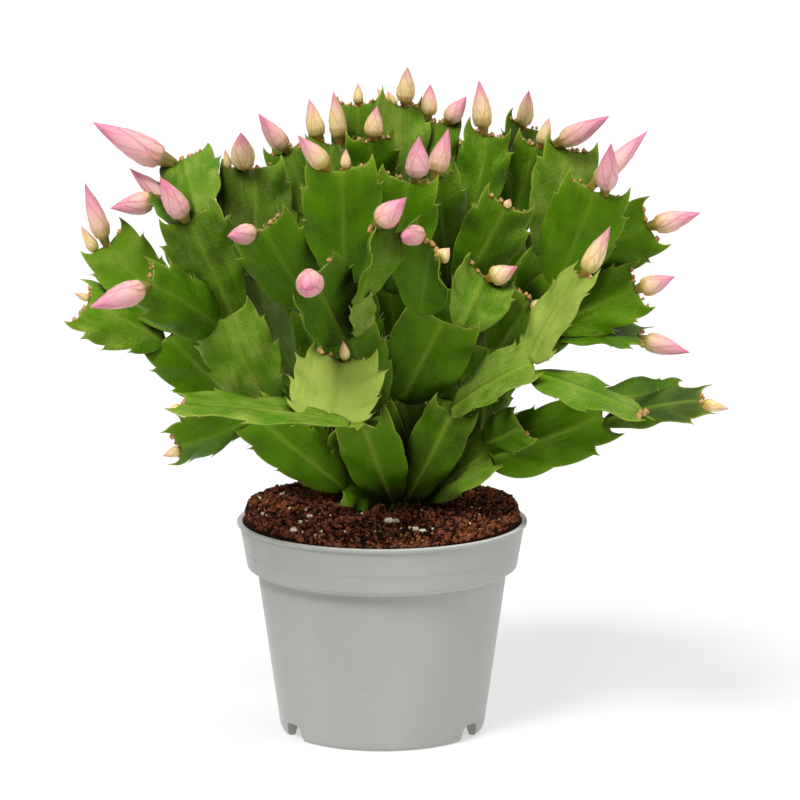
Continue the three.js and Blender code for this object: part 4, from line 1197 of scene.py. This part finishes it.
def cutters():
    """The three notches in the foot's edge and the drain holes, as one mesh."""
    made = bmesh.new()
    wide = NOTCH_WIDTH / 2 / math.sqrt(2)
    narrow = wide - NOTCH_TAPER / math.sqrt(2)
    for angle in NOTCH_ANGLES:
        around = math.radians(angle)
        outward = np.array((math.cos(around), math.sin(around)))
        sideways = np.array((-outward[1], outward[0]))
        rows = []
        for height, half in ((-0.4, wide), (NOTCH_HEIGHT - 1.2, narrow + 0.4), (NOTCH_HEIGHT, narrow - 1)):
            rows.append([(*(outward * (FOOT_RADIUS + way * wide) + sideways * side * half), height)
                         for way, side in ((-1, -1), (1, -1), (1, 1), (-1, 1))])
        block(made, rows)
    for number in range(DRAIN_COUNT):
        around = 2 * math.pi * number / DRAIN_COUNT
        x, y = DRAIN_RING * math.cos(around), DRAIN_RING * math.sin(around)
        turns = [2 * math.pi * step / DRAIN_SECTORS for step in range(DRAIN_SECTORS)]
        block(made, [[(x + DRAIN_RADIUS * math.cos(turn), y + DRAIN_RADIUS * math.sin(turn), height)
                      for turn in turns] for height in (CHANNEL_LIFT - 2, CHANNEL_LIFT + FLOOR + 2)])
    bmesh.ops.recalc_face_normals(made, faces=made.faces)
    return made


def to_mesh(name, made):
    mesh = bpy.data.meshes.new(name)
    made.to_mesh(mesh)
    made.free()
    return mesh


def make_pot(finish):
    """The turned pot with its notches and drain holes cut out, and where its lip is painted paler as a
    highlight.
    """
    whole = stand("pot_whole", to_mesh("pot_whole", lathe(pot_profile(), POT_SECTORS)))
    cut = stand("pot_cut", to_mesh("pot_cut", cutters()))
    saw = whole.modifiers.new("cut", "BOOLEAN")
    saw.operation = "DIFFERENCE"
    saw.solver = "MANIFOLD"
    saw.object = cut
    bpy.context.view_layer.update()
    mesh = bpy.data.meshes.new_from_object(whole.evaluated_get(bpy.context.evaluated_depsgraph_get()))
    for part in (whole, cut):
        bpy.data.objects.remove(part)
    mesh.name = "pot_moulding"
    mesh.materials.clear()
    places = np.empty(len(mesh.vertices) * 3, np.float32)
    mesh.vertices.foreach_get("co", places)
    places = places.reshape(-1, 3) / MM
    is_outside = np.hypot(places[:, 0], places[:, 1]) > COLLAR_TOP_RADIUS - WALL - 0.6
    # Where the painted highlight along the top of the lip lies
    lip = smooth_step(places[:, 2], POT_HEIGHT - 0.35, POT_HEIGHT - 0.05) * is_outside
    attribute = mesh.attributes.new("lip", "FLOAT", "POINT")
    attribute.data.foreach_set("value", lip.astype(np.float32))
    mesh.polygons.foreach_set("use_smooth", [True] * len(mesh.polygons))
    mesh.set_sharp_from_angle(angle=SHARP_ANGLE)
    show("pot_moulding", mesh, finish, ("pot",))


def make_plant():
    pads, stems = lay_out_pads()
    green = pad_skin()
    hairs = Form("along")
    beads = Form("seam")
    loose = random.Random(404)
    tall = max(pad.order for pad in pads.values())
    for stem, own in stems.items():
        form = Form("along", "rib", "edge", "age", "tone")
        add_neck(form, *STEMS[stem][0])
        for pad in own:
            age = max(0.25, 0.9 - pad.order / tall) if pad.is_inner else max(0, 1 - pad.order / 2.5)
            notches = add_pad(form, pad, age)
            grow_hairs(hairs, pad, notches, loose)
            if not pad.sides_grown:
                grow_areoles(hairs, beads, pad, loose)
        form.piece("leafy_" + stem, green, "pads", (stem,))
    petals = petal_skin()
    small = Form("along", "seam", "blush")
    for number, (pad_name, side, x, y, z, radius, blush) in enumerate(BUDS, 1):
        name = f"bud_{number:02d}"
        form = Form("along", "seam", "blush")
        foot = pads[pad_name].apex(side, BUD_SINK + 0.8 * pads[pad_name].dip(side))
        add_bud(form, foot, np.array((x, y, z), float), radius, blush, number)
        form.piece(name + "_petals", petals, "buds", (name,))
    for number, (pad_name, side, x, y, z, radius) in enumerate(SMALL_BUDS):
        foot = pads[pad_name].apex(side, SMALL_BUD_SINK)
        blush = 0.6 if radius > PINK_SMALL_BUD else 0.12
        add_bud(small, foot, np.array((x, y, z), float), radius, blush, number + 50, rows=30, columns=32)
    small.piece("small_buds", petals, "buds")
    hairs.piece("areole_hairs", hair_skin(), "pads")
    beads.piece("areole_beads", bead_skin(), "buds")


def grow_hairs(form, pad, notches, loose):
    """One or two thin pale hairs from each notch of a pad's margin."""
    for x, y, direction in notches:
        foot = pad.place(x, y, 0)[0]
        outward = pad.place(x + direction * 2, y + 1.4, 0)[0] - foot
        for _ in range(loose.choice((1, 1, 2))):
            heading = outward + draw_three(loose, -1.2, 1.2)
            add_hair(form, foot, heading, loose.uniform(0.9, 3.2), 0.14, loose)


def grow_areoles(hairs, beads, pad, loose):
    """The woolly areoles along a tip that has no pad on it, with beads that may become buds."""
    count = 3 if pad.is_inner else 8
    for number in range(count):
        side = (number + 0.5) / count * 2 - 1 + loose.uniform(-0.12, 0.12)
        foot = pad.apex(side * 0.9, 0.3 + pad.dip(side))
        for _ in range(3):
            heading = pad.axis + draw_three(loose, -0.8, 0.8)
            add_hair(hairs, foot, heading, loose.uniform(0.6, 1.6), 0.1, loose)
        if loose.random() < 0.8:
            for _ in range(loose.choice((1, 2, 2))):
                nudge = draw_three(loose, -0.7, 0.7)
                add_bead(beads, foot + pad.axis * 0.5 + nudge, 0.45 + 0.8 * loose.random() ** 2, loose)


def make_soil():
    loose = random.Random(77)
    finish = peat()
    bed = Form("shade")
    add_soil_bed(bed)
    bed.piece("soil_bed", finish, "soil", ("soil",))
    crumbs = Form("shade")
    add_crumbs(crumbs, loose, SMALL_CRUMBS, sizes=(0.3, 0.95), lifts=(0, 0.9), shades=(0, 1))
    add_crumbs(crumbs, loose, LARGE_CRUMBS, sizes=(0.9, 1.8), lifts=(-0.2, 0.7), shades=(0, 0.8))
    add_rim_crumbs(crumbs, loose)
    crumbs.piece("soil_crumbs", finish, "soil", is_smooth=False)
    strands = Form("along")
    add_fibres(strands, random.Random(78))
    strands.piece("soil_fibres", fibre_skin(), "soil")
    grains = Form()
    add_perlite(grains, loose)
    grains.piece("perlite_grains", perlite_skin(), "soil")


# Floor, light and camera

def make_floor():
    floor_finish = Finish("pale floor", Roughness=0.9, Specular_IOR_Level=0.1, Base_Color=(0.4, 0.4, 0.4, 1),
                          Emission_Color=(1, 1, 1, 1), Emission_Strength=0.52)
    made = bmesh.new()
    bmesh.ops.create_grid(made, x_segments=2, y_segments=2, size=9)
    mesh = to_mesh("floor", made)
    mesh.materials.append(floor_finish.material)
    stand("floor", mesh)


def make_sun(name, side, height, softness, strength):
    """Soft light from far off: degrees to the viewer's right of the front, and degrees above the floor."""
    sun = bpy.data.lights.new(name, "SUN")
    sun.angle = math.radians(softness)
    sun.energy = strength
    lamp = stand(name, sun)
    lamp.rotation_euler = (math.radians(90 - height), 0, math.radians(side))


def make_studio():
    world = bpy.data.worlds.new("studio white")
    world.use_nodes = True
    background = world.node_tree.nodes["Background"]
    background.inputs["Color"].default_value = (1, 1, 1, 1)
    background.inputs["Strength"].default_value = 0.12
    bpy.context.scene.world = world
    bpy.context.scene.view_settings.view_transform = "Standard"
    make_sun("key", side=-34, height=54, softness=24, strength=3.3)
    make_sun("fill", side=64, height=40, softness=50, strength=1.2)
    make_sun("top", side=150, height=62, softness=40, strength=1.0)


def make_camera():
    lens = bpy.data.cameras.new("camera")
    lens.sensor_width = SENSOR_WIDTH
    lens.lens = FOCAL_PIXELS / FRAME_PIXELS * SENSOR_WIDTH
    lens.clip_end = 50
    camera = stand("camera", lens)
    camera.location = Vector(CAMERA_PLACE) * MM
    camera.rotation_euler = (math.radians(90 - CAMERA_DOWN), 0, 0)
    bpy.context.scene.camera = camera


make_camera()
make_studio()
make_floor()
make_pot(pot_plastic())
make_soil()
make_plant()
